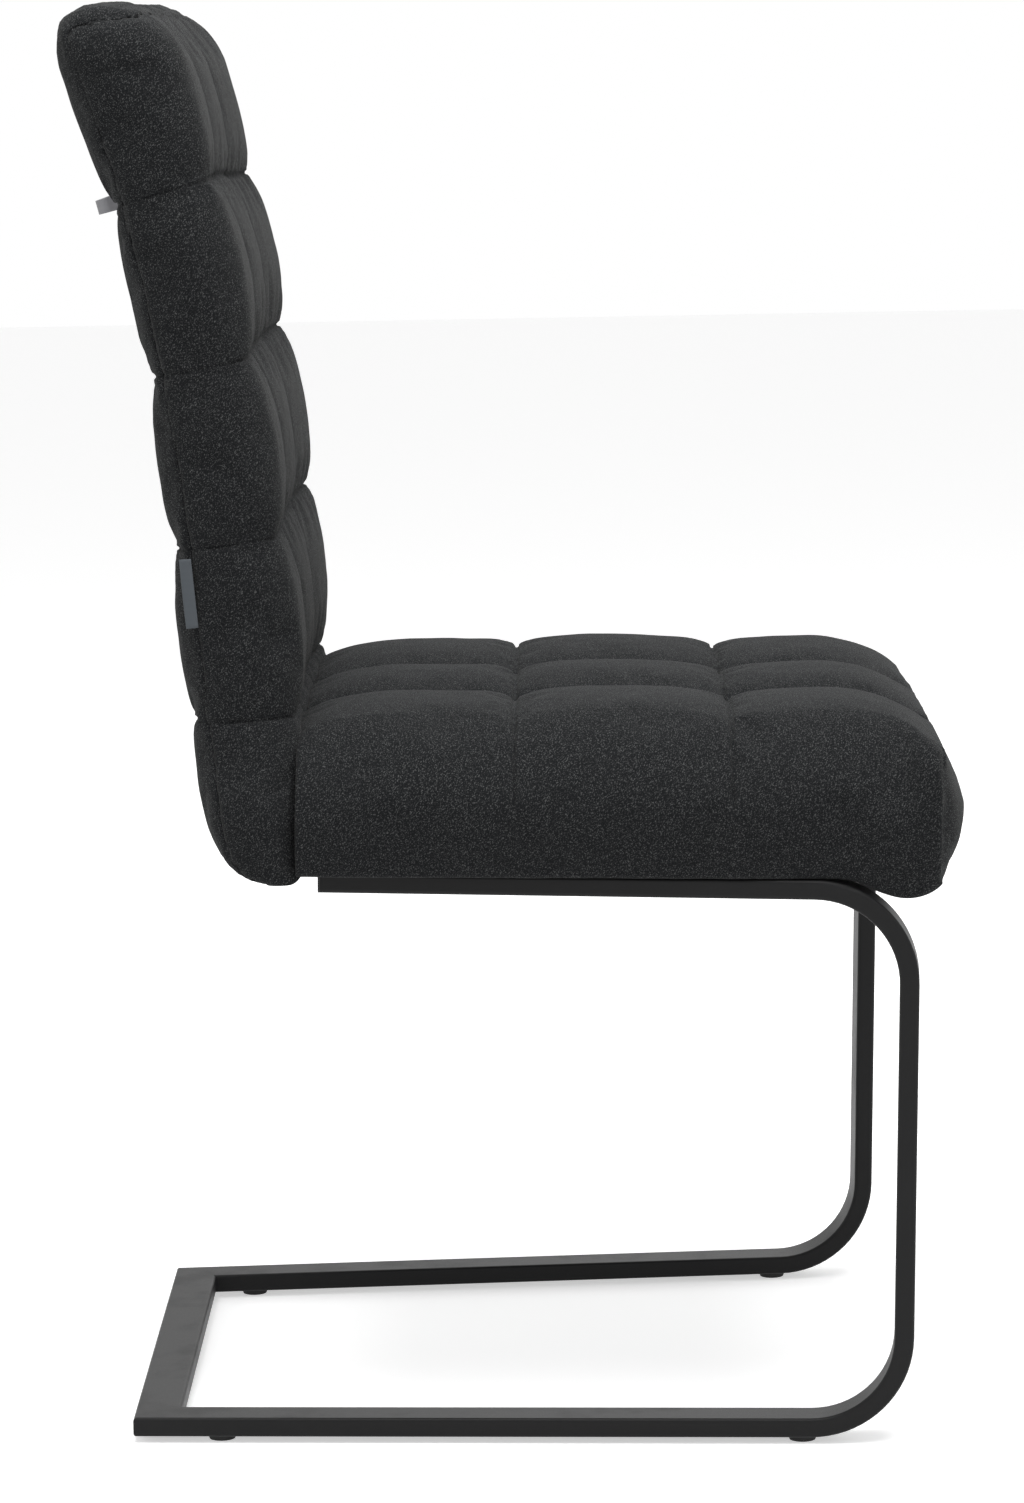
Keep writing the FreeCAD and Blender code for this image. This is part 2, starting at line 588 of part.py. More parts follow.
BOARD_TOP = "(sizes.hem_thickness + sizes.board_thickness)"
BRACKET_HEEL = (
    "(sizes.back_setback + sizes.back_board_front / cos(sizes.back_lean * 1 deg)"
    f" - (sizes.back_foot - {BOARD_TOP}) * tan(sizes.back_lean * 1 deg) - sizes.press_clearance)"
)
board_top = size("hem_thickness") + size("board_thickness")
back_lean = math.radians(size("back_lean"))
bracket_heel = (
    size("back_setback")
    + size("back_board_front") / math.cos(back_lean)
    - (size("back_foot") - board_top) * math.tan(back_lean)
    - size("press_clearance")
)
FOOT_BOLTS = ("foot_bolt_near", "foot_bolt_far")
RISE_BOLTS = ("rise_bolt_near", "rise_bolt_far")

seat_board = new_body("seat_board", seat_place)
board_outline = sketch_on(seat_board, "XY_Plane", "outline", "sizes.hem_thickness")
polygon(board_outline, (
    ("-sizes.board_half_width", "-sizes.board_front"),
    ("sizes.board_half_width", "-sizes.board_front"),
    ("sizes.board_half_width", "sizes.board_rear"),
    ("-sizes.board_half_width", "sizes.board_rear"),
))
feature(seat_board, "Pad", "sheet", board_outline, Length="sizes.board_thickness")
fillet_upright(seat_board, "corners", "sizes.board_corner")
nut_holes = sketch_on(seat_board, "XY_Plane", "nut_holes")
frame_recess = sketch_on(seat_board, "XY_Plane", "frame_recess", f"{BOARD_TOP} - sizes.nut_flange_thickness")
bracket_recess = sketch_on(
    seat_board, "XY_Plane", "bracket_recess", "sizes.hem_thickness + sizes.nut_flange_thickness"
)
NUT_HOLE = "sizes.nut_barrel_radius + sizes.press_clearance"
NUT_RECESS = "sizes.nut_flange_radius + sizes.press_clearance"
for side, sign in SIDES:
    for run in BOLT_RUNS:
        across, along = rail_cells(sign, f"sizes.{run}")
        circle(nut_holes, across, along, NUT_HOLE)
        circle(frame_recess, across, along, NUT_RECESS)
    for bolt in FOOT_BOLTS:
        across, along = f"{sign} * sizes.bracket_spread", f"{BRACKET_HEEL} - sizes.{bolt}"
        circle(nut_holes, across, along, NUT_HOLE)
        circle(bracket_recess, across, along, NUT_RECESS)
feature(seat_board, "Pocket", "nut_hole_cut", nut_holes, Type=1, Midplane=True)
feature(seat_board, "Pocket", "frame_recess_cut", frame_recess, Type=1, Reversed=True)
feature(seat_board, "Pocket", "bracket_recess_cut", bracket_recess, Type=1)


# Brackets between seat board and back board

def bracket(label, sign):
    """A steel angle: its foot on the seat board, its rise on the front of the back board."""
    place = seat_place.multiply(Placement(Vector(sign * size("bracket_spread"), 0, 0), Rotation()))
    body = new_body(label, place)
    profile = sketch_on(body, "YZ_Plane", "profile")
    toe_end = f"{BRACKET_HEEL} - sizes.bracket_foot"
    foot_top = f"{BOARD_TOP} + sizes.bracket_thickness"
    slant = "sin(sizes.back_lean * 1 deg)"
    upright = "cos(sizes.back_lean * 1 deg)"
    top_y = f"{BRACKET_HEEL} + sizes.bracket_rise * {slant}"
    top_z = f"{BOARD_TOP} + sizes.bracket_rise * {upright}"
    polygon(profile, (
        (toe_end, BOARD_TOP),
        (BRACKET_HEEL, BOARD_TOP),
        (top_y, top_z),
        (f"{top_y} - sizes.bracket_thickness * {upright}", f"{top_z} + sizes.bracket_thickness * {slant}"),
        (f"{BRACKET_HEEL} - sizes.bracket_thickness * (1 - {slant}) / {upright}", foot_top),
        (toe_end, foot_top),
    ))
    feature(body, "Pad", "angle", profile, Midplane=True, Length="sizes.bracket_width")
    foot_holes = sketch_on(body, "XY_Plane", "foot_holes")
    rise_holes = sketch_on(body, "XZ_Plane", "rise_holes")
    bolt_hole = "sizes.bolt_radius + sizes.hole_clearance"
    for bolt in FOOT_BOLTS:
        circle(foot_holes, "0", f"{BRACKET_HEEL} - sizes.{bolt}", bolt_hole)
    for bolt in RISE_BOLTS:
        circle(rise_holes, "0", f"{BOARD_TOP} + sizes.{bolt} * {upright}", bolt_hole)
    feature(body, "Pocket", "foot_hole_cut", foot_holes, Type=1, Midplane=True)
    feature(body, "Pocket", "rise_hole_cut", rise_holes, Type=1, Midplane=True)


for side, sign in SIDES:
    bracket(f"back_bracket_{side}", sign)


# Back board and foam: bands that follow the back's curve

def curved_band(sketch, front, rear, low, high):
    """Side view of a band: straight foot, then an arc. Each argument is a number and its expression."""
    radius = size("back_radius")
    turn = high[0] / radius
    centre = Vector(radius, 0, 0)
    ends = []
    for depth, _ in (front, rear):
        circle_of_depth = Part.Circle(centre, Vector(0, 0, 1), radius - depth)
        sketch.addGeometry(Part.LineSegment(Vector(depth, low[0], 0), Vector(depth, 0, 0)), False)
        sketch.addGeometry(Part.ArcOfCircle(circle_of_depth, math.pi - turn, math.pi), False)
        ends.append(centre + Vector(-math.cos(turn), math.sin(turn), 0) * (radius - depth))
    sketch.addGeometry(Part.LineSegment(Vector(front[0], low[0], 0), Vector(rear[0], low[0], 0)), False)
    sketch.addGeometry(Part.LineSegment(ends[0], ends[1]), False)
    for line, curve in ((0, 1), (2, 3)):
        sketch.addConstraint(Sketcher.Constraint("Tangent", line, 2, curve, 2))
        sketch.addConstraint(Sketcher.Constraint("Vertical", line))
    sketch.addConstraint(Sketcher.Constraint("Coincident", 0, 1, 4, 1))
    sketch.addConstraint(Sketcher.Constraint("Coincident", 4, 2, 2, 1))
    sketch.addConstraint(Sketcher.Constraint("Coincident", 1, 1, 5, 1))
    sketch.addConstraint(Sketcher.Constraint("Coincident", 5, 2, 3, 1))
    sketch.addConstraint(Sketcher.Constraint("Coincident", 1, 3, 3, 3))
    sketch.addConstraint(Sketcher.Constraint("PointOnObject", 1, 3, -1))
    sketch.addConstraint(Sketcher.Constraint("PointOnObject", 1, 3, 5))
    sketch.addConstraint(Sketcher.Constraint("Horizontal", 4))
    constrain(sketch, "DistanceX", (-1, 1, 0, 1), front[1])
    constrain(sketch, "DistanceX", (-1, 1, 2, 1), rear[1])
    constrain(sketch, "DistanceY", (-1, 1, 0, 1), low[1])
    constrain(sketch, "DistanceX", (-1, 1, 1, 3), "sizes.back_radius")
    constrain(
        sketch, "DistanceY", (-1, 1, 1, 1),
        f"(sizes.back_radius - ({front[1]})) * sin(({high[1]}) / sizes.back_radius * 180 deg / pi)",
    )


def band_body(label, span):
    """A board or foam pad of the back: its front, rear, lower end and upper end."""
    body = new_body(label, back_place)
    side_view = sketch_on(body, "YZ_Plane", "side_view")
    curved_band(side_view, *span)
    feature(body, "Pad", "band", side_view, Midplane=True, Length="2 * sizes.back_core_half_width")
    return body


BOARD_REAR = "(sizes.back_board_front + sizes.back_board_thickness)"
board_rear_depth = size("back_board_front") + size("back_board_thickness")
FOAM_FOOT = (
    f"(({BOARD_TOP} + sizes.cushion_clearance - sizes.back_foot) / cos(sizes.back_lean * 1 deg)"
    " + sizes.back_board_front * tan(sizes.back_lean * 1 deg))"
)
foam_foot = (
    (board_top + size("cushion_clearance") - size("back_foot")) / math.cos(back_lean)
    + size("back_board_front") * math.tan(back_lean)
)
HEEL_RISE = (
    f"(({BOARD_TOP} - sizes.back_foot) / cos(sizes.back_lean * 1 deg)"
    " + sizes.back_board_front * tan(sizes.back_lean * 1 deg))"
)
heel_rise = (board_top - size("back_foot")) / math.cos(back_lean)
heel_rise += size("back_board_front") * math.tan(back_lean)
HEAD_ROOM = "(sizes.bracket_thickness + sizes.bolt_head_height + 2 * sizes.cushion_clearance)"
BOARD_LOW = "(sizes.back_board_low - sizes.back_foot)"
CORE_HIGH = "(3 * sizes.back_row + sizes.back_top_row - sizes.back_core_end)"
core_high = back_top - size("back_core_end")
handle_rise = 3 * size("back_row")

board_span = (
    (size("back_board_front"), "sizes.back_board_front"),
    (board_rear_depth, BOARD_REAR),
    (size("back_board_low") - size("back_foot"), BOARD_LOW),
    (core_high, CORE_HIGH),
)
front_foam_span = (
    (-size("back_core_front"), "-sizes.back_core_front"),
    (size("back_board_front"), "sizes.back_board_front"),
    (foam_foot, FOAM_FOOT),
    (core_high, CORE_HIGH),
)
rear_foam_span = (
    (board_rear_depth, BOARD_REAR),
    (size("back_core_rear"), "sizes.back_core_rear"),
    (-size("back_round"), "-sizes.back_round"),
    (core_high, CORE_HIGH),
)


def handle_sketch(body, name, depth):
    """A sketch square to the back at the handle's height, a depth behind its middle surface."""
    sketch = sketch_on(body, "XZ_Plane", name)
    spot = back_point(0, depth, handle_rise)
    turn = math.degrees(handle_rise / size("back_radius"))
    sketch.AttachmentOffset = Placement(Vector(0, spot.z, -spot.y), Rotation(Vector(1, 0, 0), -turn))
    return sketch


def box_outline(sketch, low_across, high_across, low_up, high_up):
    """A rectangle between expressions."""
    polygon(sketch, (
        (low_across, low_up),
        (high_across, low_up),
        (high_across, high_up),
        (low_across, high_up),
    ))


back_board = band_body("back_board", board_span)
back_nuts = sketch_on(back_board, "XZ_Plane", "nut_holes")
back_recess = sketch_on(back_board, "XZ_Plane", "nut_recess", f"sizes.nut_flange_thickness - {BOARD_REAR}")
screw_holes = handle_sketch(back_board, "screw_holes", size("back_board_front"))
for side, sign in SIDES:
    for bolt in RISE_BOLTS:
        across, up = f"{sign} * sizes.bracket_spread", f"{HEEL_RISE} + sizes.{bolt}"
        circle(back_nuts, across, up, NUT_HOLE)
        circle(back_recess, across, up, NUT_RECESS)
    across = f"{sign} * sizes.handle_spacing / 2"
    circle(screw_holes, across, "0", "sizes.screw_radius + sizes.hole_clearance")
feature(back_board, "Pocket", "nut_hole_cut", back_nuts, Type=1, Midplane=True)
feature(back_board, "Pocket", "nut_recess_cut", back_recess, Type=1)
feature(back_board, "Pocket", "screw_hole_cut", screw_holes, Type=1, Midplane=True)

front_foam = band_body("back_foam_front", front_foam_span)
rise_slots = sketch_on(front_foam, "XZ_Plane", "rise_slots", f"{HEAD_ROOM} - sizes.back_board_front")
foot_slots = sketch_on(front_foam, "XZ_Plane", "foot_slots")
head_depth = size("back_board_front") - size("screw_head_height") - 2 * size("cushion_clearance")
screw_heads = handle_sketch(front_foam, "screw_heads", head_depth)
SLOT_HALF = "(sizes.bracket_width / 2 + sizes.cushion_clearance)"
for side, sign in SIDES:
    inner, outer = (f"{sign} * sizes.bracket_spread {way} {SLOT_HALF}" for way in "-+")
    below = f"{FOAM_FOOT} - sizes.back_foot"
    above = f"{HEEL_RISE} + sizes.bracket_rise + sizes.cushion_clearance"
    box_outline(rise_slots, inner, outer, below, above)
    box_outline(foot_slots, inner, outer, below, f"{HEEL_RISE} + {HEAD_ROOM}")
    circle(
        screw_heads, f"{sign} * sizes.handle_spacing / 2", "0",
        "sizes.screw_head_radius + 2 * sizes.cushion_clearance",
    )
feature(front_foam, "Pocket", "rise_slot_cut", rise_slots, Type=1)
feature(front_foam, "Pocket", "foot_slot_cut", foot_slots, Type=1, Midplane=True)
feature(front_foam, "Pocket", "screw_head_cut", screw_heads, Type=1)

rear_foam = band_body("back_foam_rear", rear_foam_span)
leg_holes = handle_sketch(rear_foam, "leg_holes", size("back_core_rear"))
LEG_HALF = "(sizes.handle_bar / 2 + sizes.cushion_clearance)"
for side, sign in SIDES:
    inner, outer = (f"{sign} * sizes.handle_spacing / 2 {way} {LEG_HALF}" for way in "-+")
    box_outline(leg_holes, inner, outer, f"-{LEG_HALF}", LEG_HALF)
feature(rear_foam, "Pocket", "leg_hole_cut", leg_holes, Type=1, Midplane=True)


# Seat foam on the board, open around the bracket feet

seat_foam = new_body("seat_foam", seat_place)
foam_outline = sketch_on(seat_foam, "XY_Plane", "outline", BOARD_TOP)
box_outline(
    foam_outline, "-sizes.seat_foam_half_width", "sizes.seat_foam_half_width",
    "-sizes.seat_foam_front", "sizes.seat_rear - sizes.cover_wall - sizes.cushion_clearance",
)
feature(seat_foam, "Pad", "block", foam_outline, Length="sizes.seat_foam_height")
bracket_slots = sketch_on(seat_foam, "XY_Plane", "bracket_slots", BOARD_TOP)
for side, sign in SIDES:
    inner, outer = (f"{sign} * sizes.bracket_spread {way} {SLOT_HALF}" for way in "-+")
    toe_end = f"{BRACKET_HEEL} - sizes.bracket_foot - sizes.cushion_clearance"
    box_outline(bracket_slots, inner, outer, toe_end, "sizes.seat_rear + sizes.bracket_foot")
feature(seat_foam, "Pocket", "bracket_slot_cut", bracket_slots, Length=HEAD_ROOM, Reversed=True)

dust_cover = new_body("seat_dust_cover", seat_place)
dust_outline = sketch_on(dust_cover, "XY_Plane", "outline")
DUST_HALF = "(sizes.board_half_width - sizes.hem_width - sizes.dust_clearance)"
box_outline(
    dust_outline, f"-{DUST_HALF}", DUST_HALF,
    "sizes.hem_width + sizes.dust_clearance - sizes.board_front", "sizes.board_rear",
)
feature(dust_cover, "Pad", "cloth", dust_outline, Length="sizes.hem_thickness")
dust_holes = sketch_on(dust_cover, "XY_Plane", "nut_clearance")
for side, sign in SIDES:
    for bolt in FOOT_BOLTS:
        circle(
            dust_holes, f"{sign} * sizes.bracket_spread", f"{BRACKET_HEEL} - sizes.{bolt}",
            "sizes.bolt_radius + sizes.hole_clearance",
        )
feature(dust_cover, "Pocket", "nut_clearance_cut", dust_holes, Type=1, Midplane=True)


# Quilted covers: lofts through outlines of lines and arcs

gap = size("cushion_clearance")
column = size("column_width") / 2


def outline(points):
    """A closed wire of arcs through (start, middle, end) triples, or lines where there are two points."""
    edges = [arc(*run) if len(run) == 3 else straight(*run) for run in points]
    return Part.Wire(edges)


def mirrored(point):
    """The point on the other side of the chair's middle plane."""
    return Vector(-point.x, point.y, point.z)


def both_sides(runs):
    """The runs of one side, and the same runs mirrored and in reverse."""
    return [tuple(mirrored(point) for point in reversed(run)) for run in reversed(runs)]


def box_between(low, high):
    """A box between two corners."""
    return Part.makeBox(high.x - low.x, high.y - low.y, high.z - low.z, low)


def seat_outline(y, crest, valley, bottom, inset):
    """The seat cushion cut across: flat bottom, crowned sides, three columns."""
    base = max(bottom, 0)
    share = (crest - base) / size("seat_crest")
    foot = Vector(size("seat_half_bottom") - inset, y, bottom)
    flank_top = Vector(size("seat_half_top") - inset, y, crest - size("seat_flank_drop") * share)
    shoulder = Vector(
        flank_top.x - size("seat_shoulder"), y, crest - size("seat_shoulder_drop") * share
    )
    flank = (foot + flank_top) * 0.5 + Vector(size("seat_side_crown") * share, 0, 0)
    chord = shoulder - flank_top
    outward = Vector(chord.z, 0, -chord.x).normalize()
    corner = (flank_top + shoulder) * 0.5 + outward * size("seat_shoulder_bulge") * share
    seam = Vector(column, y, valley)
    outer_crest = Vector((column + shoulder.x) / 2, y, crest)
    side = [(foot, flank, flank_top), (flank_top, corner, shoulder), (shoulder, outer_crest, seam)]
    middle = (seam, Vector(0, y, crest), mirrored(seam))
    return outline([*side, middle, *both_sides(side), (mirrored(foot), foot)])


def flat_seat_outline(y, drop_of_crest, drop_of_seam):
    """A cut across the flat part of the seat, its crown and its seams below the full crown."""
    crest = size("seat_crest") - drop_of_crest
    return seat_outline(y, crest, size("seat_crest") - drop_of_seam, 0, 0)


def nose_outline(angle):
    """A cut across the front roll, at an angle of its top curve."""
    reach = math.sin(math.radians(angle))
    y = -(size("seat_nose_start") + (size("seat_front") - size("seat_nose_start")) * reach)
    nose = size("seat_nose_height")
    crest = nose + (size("seat_crest") - nose) * (1 - reach ** 2.2) ** (1 / 2.2)
    valley = crest - size("seam_sink") * math.cos(math.radians(angle))
    past_lip = -y - size("seat_lip_front")
    if past_lip <= 0:
        turn = (-y - size("seat_nose_start")) / (size("seat_lip_front") - size("seat_nose_start"))
        bottom = -size("seat_lip") * (1 - math.cos(math.pi * turn)) / 2
    else:
        share = past_lip / (size("seat_front") - size("seat_lip_front"))
        bottom = nose - (nose + size("seat_lip")) * math.sqrt(1 - share ** 2)
    corner = size("seat_nose_corner")
    into_corner = max(0, corner - (size("seat_front") + y))
    inset = corner - math.sqrt(corner ** 2 - into_corner ** 2)
    return seat_outline(y, crest, valley, bottom, inset)


SEAM_LINE = (size("cross_seam_sink"), size("tuft_sink"))
CROWN_LINE = (0, size("seam_sink"))
rear_line = (size("seat_rear_sink"), size("tuft_sink") + 1)
seam_y = [size("seat_rear") - size("seat_row") * row for row in range(3)]
half_row = size("seat_row") / 2
seat_rows = [
    [
        flat_seat_outline(seam_y[0], *rear_line),
        flat_seat_outline(seam_y[0] - half_row, *CROWN_LINE),
        flat_seat_outline(seam_y[1], *SEAM_LINE),
    ],
    [
        flat_seat_outline(seam_y[1], *SEAM_LINE),
        flat_seat_outline(seam_y[1] - half_row, *CROWN_LINE),
        flat_seat_outline(seam_y[2], *SEAM_LINE),
    ],
    [
        flat_seat_outline(seam_y[2], *SEAM_LINE),
        flat_seat_outline((seam_y[2] - size("seat_nose_start")) / 2, 1, size("seam_sink") + 2),
        nose_outline(0),
    ],
    [nose_outline(angle) for angle in (0, 20, 38, 54, 68, 80)],
]
cushion = Part.makeLoft(seat_rows[0], True, False)
for row in seat_rows[1:]:
    cushion = cushion.fuse(Part.makeLoft(row, True, False))

hem_bottom = -2 * size("seat_lip")
board_half = size("board_half_width")
board_space = box_between(
    Vector(-board_half - gap, -size("board_front") - gap, size("hem_thickness")),
    Vector(board_half + gap, size("back_setback"), board_top + gap),
)
hem_opening = box_between(
    Vector(size("hem_width") - board_half, size("hem_width") - size("board_front"), hem_bottom),
    Vector(board_half - size("hem_width"), size("back_setback"), board_top),
)
foam_half = size("seat_foam_half_width") + gap
foam_space = box_between(
    Vector(-foam_half, -size("seat_foam_front") - gap, board_top),
    Vector(foam_half, size("seat_rear") - size("cover_wall"), board_top + size("seat_foam_height") + gap),
)
bracket_spaces = [
    box_between(
        Vector(sign * size("bracket_spread") - size("bracket_width") / 2 - gap, 0, board_top),
        Vector(
            sign * size("bracket_spread") + size("bracket_width") / 2 + gap,
            size("back_setback"),
            board_top + size("bracket_thickness") + size("bolt_head_height") + 2 * gap,
        ),
    )
    for side, sign in SIDES
]
bolt_spaces = []
for side, sign in SIDES:
    for run in BOLT_RUNS:
        spot = rail_point(sign, size(run)) + Vector(0, 0, hem_bottom)
        reach = size("bolt_radius") + size("hole_clearance")
        bolt_spaces.append(Part.makeCylinder(reach, -2 * hem_bottom, spot))
cushion = cushion.cut(board_space.fuse([hem_opening, foam_space, *bracket_spaces, *bolt_spaces]))
soft_piece("seat_cover", cushion, seat_place)


def back_outline(rise, front, rear, half_width):
    """The back cut across its height. Front and rear: depth of the crown and of the seams."""
    front_crest, front_seam = front
    rear_crest, rear_seam = rear
    thickness = front_seam + rear_seam
    front_round = min(size("back_front_corner"), 0.55 * thickness)
    rear_round = min(size("back_rear_corner"), 0.3 * thickness)
    slant = math.sqrt(0.5)

    def spot(x, depth):
        return back_point(x, depth, rise)

    front_start = half_width - front_round
    rear_start = half_width - rear_round
    front_flank = front_round - front_seam
    rear_flank = rear_seam - rear_round
    side = [
        (
            spot(column, -front_seam),
            spot((column + front_start) / 2, -front_crest),
            spot(front_start, -front_seam),
        ),
        (
            spot(front_start, -front_seam),
            spot(front_start + front_round * slant, front_flank - front_round * slant),
            spot(half_width, front_flank),
        ),
        (
            spot(half_width, front_flank),
            spot(half_width + size("back_side_crown") * thickness / 80, (front_flank + rear_flank) / 2),
            spot(half_width, rear_flank),
        ),
        (
            spot(half_width, rear_flank),
            spot(rear_start + rear_round * slant, rear_flank + rear_round * slant),
            spot(rear_start, rear_seam),
        ),
        (
            spot(rear_start, rear_seam),
            spot((column + rear_start) / 2, rear_crest),
            spot(column, rear_seam),
        ),
    ]
    rear_middle = (spot(column, rear_seam), spot(0, rear_crest), spot(-column, rear_seam))
    front_middle = (spot(-column, -front_seam), spot(0, -front_crest), spot(column, -front_seam))
    return outline([*side, rear_middle, *both_sides(side), front_middle])


crest = size("back_crest_depth")
crown_line = (crest, size("back_seam_depth"))
seam_line = (crest - size("back_cross_sink"), crest - size("back_tuft_sink"))
half_width = size("back_half_width")
row = size("back_row")
back_rows = []
for number in range(3):
    start = number * row
    back_rows.append([
        back_outline(start, seam_line, seam_line, half_width),
        back_outline(start + row / 2, crown_line, crown_line, half_width),
        back_outline(start + row, seam_line, seam_line, half_width),
    ])
shoulder_start = back_top - size("back_shoulder")
back_rows.append([
    back_outline(3 * row, seam_line, seam_line, half_width),
    back_outline((3 * row + shoulder_start) / 2, crown_line, crown_line, half_width),
    back_outline(shoulder_start, crown_line, crown_line, half_width),
])


def top_outline(angle):
    """The rounded top of the back, at an angle of its curve."""
    turn = math.radians(angle)
    share = math.cos(turn) ** 0.8
    depth = (crest * share, size("back_seam_depth") * share - 0.2)
    inset = size("back_front_corner") * (1 - math.cos(turn))
    rise = shoulder_start + size("back_shoulder") * math.sin(turn)
    return back_outline(rise, depth, depth, half_width - inset)


def foot_outline(drop, rear_share, spread_share):
    """The straight foot of the back, rounded under the rear and as wide as the seat."""
    rear = (
        (size("back_seam_depth") + 1) * rear_share,
        (size("back_seam_depth") + 1) * rear_share - 1,
    )
    width = half_width + size("back_foot_spread") * spread_share
    return back_outline(-drop, (size("back_seam_depth") + 1, size("back_seam_depth")), rear, width)


back_rows.append([
    back_outline(shoulder_start, crown_line, crown_line, half_width),
    *(top_outline(angle) for angle in (25, 45, 62, 76)),
])
lower = size("back_foot") - size("back_round")
back_rows.append([
    foot_outline(lower, 0.97, 0.75),
    foot_outline(lower / 2, 1.02, 0.35),
    back_outline(0, seam_line, seam_line, half_width),
])
under = size("back_round")
back_rows.append([
    foot_outline(lower, 0.97, 0.75),
    foot_outline(lower + 0.3 * under, 0.9, 1.0),
    foot_outline(lower + 0.6 * under, 0.7, 1.0),
    foot_outline(lower + 0.85 * under, 0.32, 0.88),
    foot_outline(lower + 0.98 * under, -0.12, 0.75),
])
back = Part.makeLoft(back_rows[0], True, False)
for sections in back_rows[1:]:
    back = back.fuse(Part.makeLoft(sections, True, False))


def band(front, rear, low, high, half):
    """A solid band between two depths and two heights of the back."""
    middle = high / 2
    left = -half
    face_edges = [
        straight(back_point(left, front, low), back_point(left, front, 0)),
        arc(back_point(left, front, 0), back_point(left, front, middle), back_point(left, front, high)),
        straight(back_point(left, front, high), back_point(left, rear, high)),
        arc(back_point(left, rear, high), back_point(left, rear, middle), back_point(left, rear, 0)),
        straight(back_point(left, rear, 0), back_point(left, rear, low)),
        straight(back_point(left, rear, low), back_point(left, front, low)),
    ]
    return Part.Face(Part.Wire(face_edges)).extrude(Vector(2 * half, 0, 0))


core_half = size("back_core_half_width") + gap
board_low = size("back_board_low") - size("back_foot")
core_front = -size("back_core_front") - gap
back_space = band(core_front, size("back_board_front"), foam_foot - gap, core_high + gap, core_half)
back_space = back_space.fuse([
    band(core_front, board_rear_depth + gap, board_low - gap, core_high + gap, core_half),
    band(core_front, size("back_core_rear") + gap, -size("back_round") - gap, core_high + gap, core_half),
])
seat_space = box_between(
    Vector(-2 * board_half, -size("seat_front"), hem_bottom),
    Vector(2 * board_half, size("seat_rear") + gap, size("seat_crest") - size("seat_rear_sink") + 3),
)
foot_space = box_between(
    Vector(-board_half - gap, 0, hem_bottom),
    Vector(board_half + gap, size("board_rear") + gap, board_top + gap),
)
bracket_reach = [
    box_between(
        Vector(sign * size("bracket_spread") - size("bracket_width") / 2 - gap, 0, board_top),
        Vector(
            sign * size("bracket_spread") + size("bracket_width") / 2 + gap,
            bracket_heel + gap,
            board_top + size("bracket_thickness") + size("bolt_head_height") + 2 * gap,
        ),
    )
    for side, sign in SIDES
]
seat_tools = seat_space.fuse([foot_space, *bracket_reach])
seat_tools.Placement = back_in_seat.inverse()
leg_spaces = []
leg_half = size("handle_bar") / 2 + gap
for side, sign in SIDES:
    across = sign * size("handle_spacing") / 2
    leg = box_between(
        Vector(across - leg_half, 0, -leg_half),
        Vector(across + leg_half, size("handle_reach"), leg_half),
    )
    leg.Placement = back_place.inverse().multiply(back_spot(0, 0, handle_rise))
    leg_spaces.append(leg)
back = back.cut(back_space.fuse([seat_tools, *leg_spaces]))

top_turn = back_top - size("top_seam")
far = 2 * crest
rear_side = band(size("seam_line"), far, -2 * size("back_foot"), top_turn, 2 * half_width)
rear_side = rear_side.fuse(band(0, far, top_turn, back_top + far, 2 * half_width))
soft_piece("back_cover_front", back.cut(rear_side), back_place)
soft_piece("back_cover_rear", back.common(rear_side), back_place)


# Bow handle on the rear, with its screws

handle = new_body("handle", back_spot(0, 0, handle_rise))
bow = sketch_on(handle, "XY_Plane", "bow")
LEG_OUT = "(sizes.handle_spacing / 2 + sizes.handle_bar / 2)"
LEG_IN = "(sizes.handle_spacing / 2 - sizes.handle_bar / 2)"
LEG_ROOT = f"({BOARD_REAR} + sizes.press_clearance)"
polygon(bow, (
    (f"-{LEG_OUT}", LEG_ROOT),
    (f"-{LEG_IN}", LEG_ROOT),
    (f"-{LEG_IN}", "sizes.handle_reach - sizes.handle_grip"),
    (LEG_IN, "sizes.handle_reach - sizes.handle_grip"),
    (LEG_IN, LEG_ROOT),
    (LEG_OUT, LEG_ROOT),
    (LEG_OUT, "sizes.handle_reach"),
    (f"-{LEG_OUT}", "sizes.handle_reach"),
))
feature(handle, "Pad", "bow_pad", bow, Midplane=True, Length="sizes.handle_bar")
threads = sketch_on(handle, "XZ_Plane", "threads", f"-{LEG_ROOT}")
for side, sign in SIDES:
    circle(threads, f"{sign} * sizes.handle_spacing / 2", "0", "sizes.screw_radius + sizes.press_clearance")
feature(handle, "Pocket", "thread_cut", threads, Length="sizes.screw_depth + 2 * sizes.hole_clearance")
handle_reach = size("handle_reach")
fillet_upright(handle, "bends", "sizes.handle_bend", lambda foot: foot.y > handle_reach - 1)


# Fasteners, each kind a group of like pieces

def turned(name, place, discs, hole=None):
    """Discs stacked along z, each (radius, start, length), with an optional hole through them."""
    parts = []
    for number, (radius, start, length) in enumerate(discs):
        disc = doc.addObject("Part::Cylinder", f"{name}_disc{number}")
        disc.setExpression("Radius", radius)
        disc.setExpression("Height", length)
        disc.setExpression("Placement.Base.z", start)
        parts.append(disc)
    whole = parts[0]
    if len(parts) > 1:
        whole = doc.addObject("Part::MultiFuse", f"{name}_body")
        whole.Shapes = parts
    if hole:
        bore = doc.addObject("Part::Cylinder", f"{name}_bore")
        bore.setExpression("Radius", hole)
        bore.Height = 4 * size("board_thickness")
        bore.Placement.Base = Vector(0, 0, -2 * size("board_thickness"))
        solid = doc.addObject("Part::Cut", f"{name}_bored")
        solid.Base = whole
        solid.Tool = bore
        whole = solid
    whole.Placement = place
    return whole


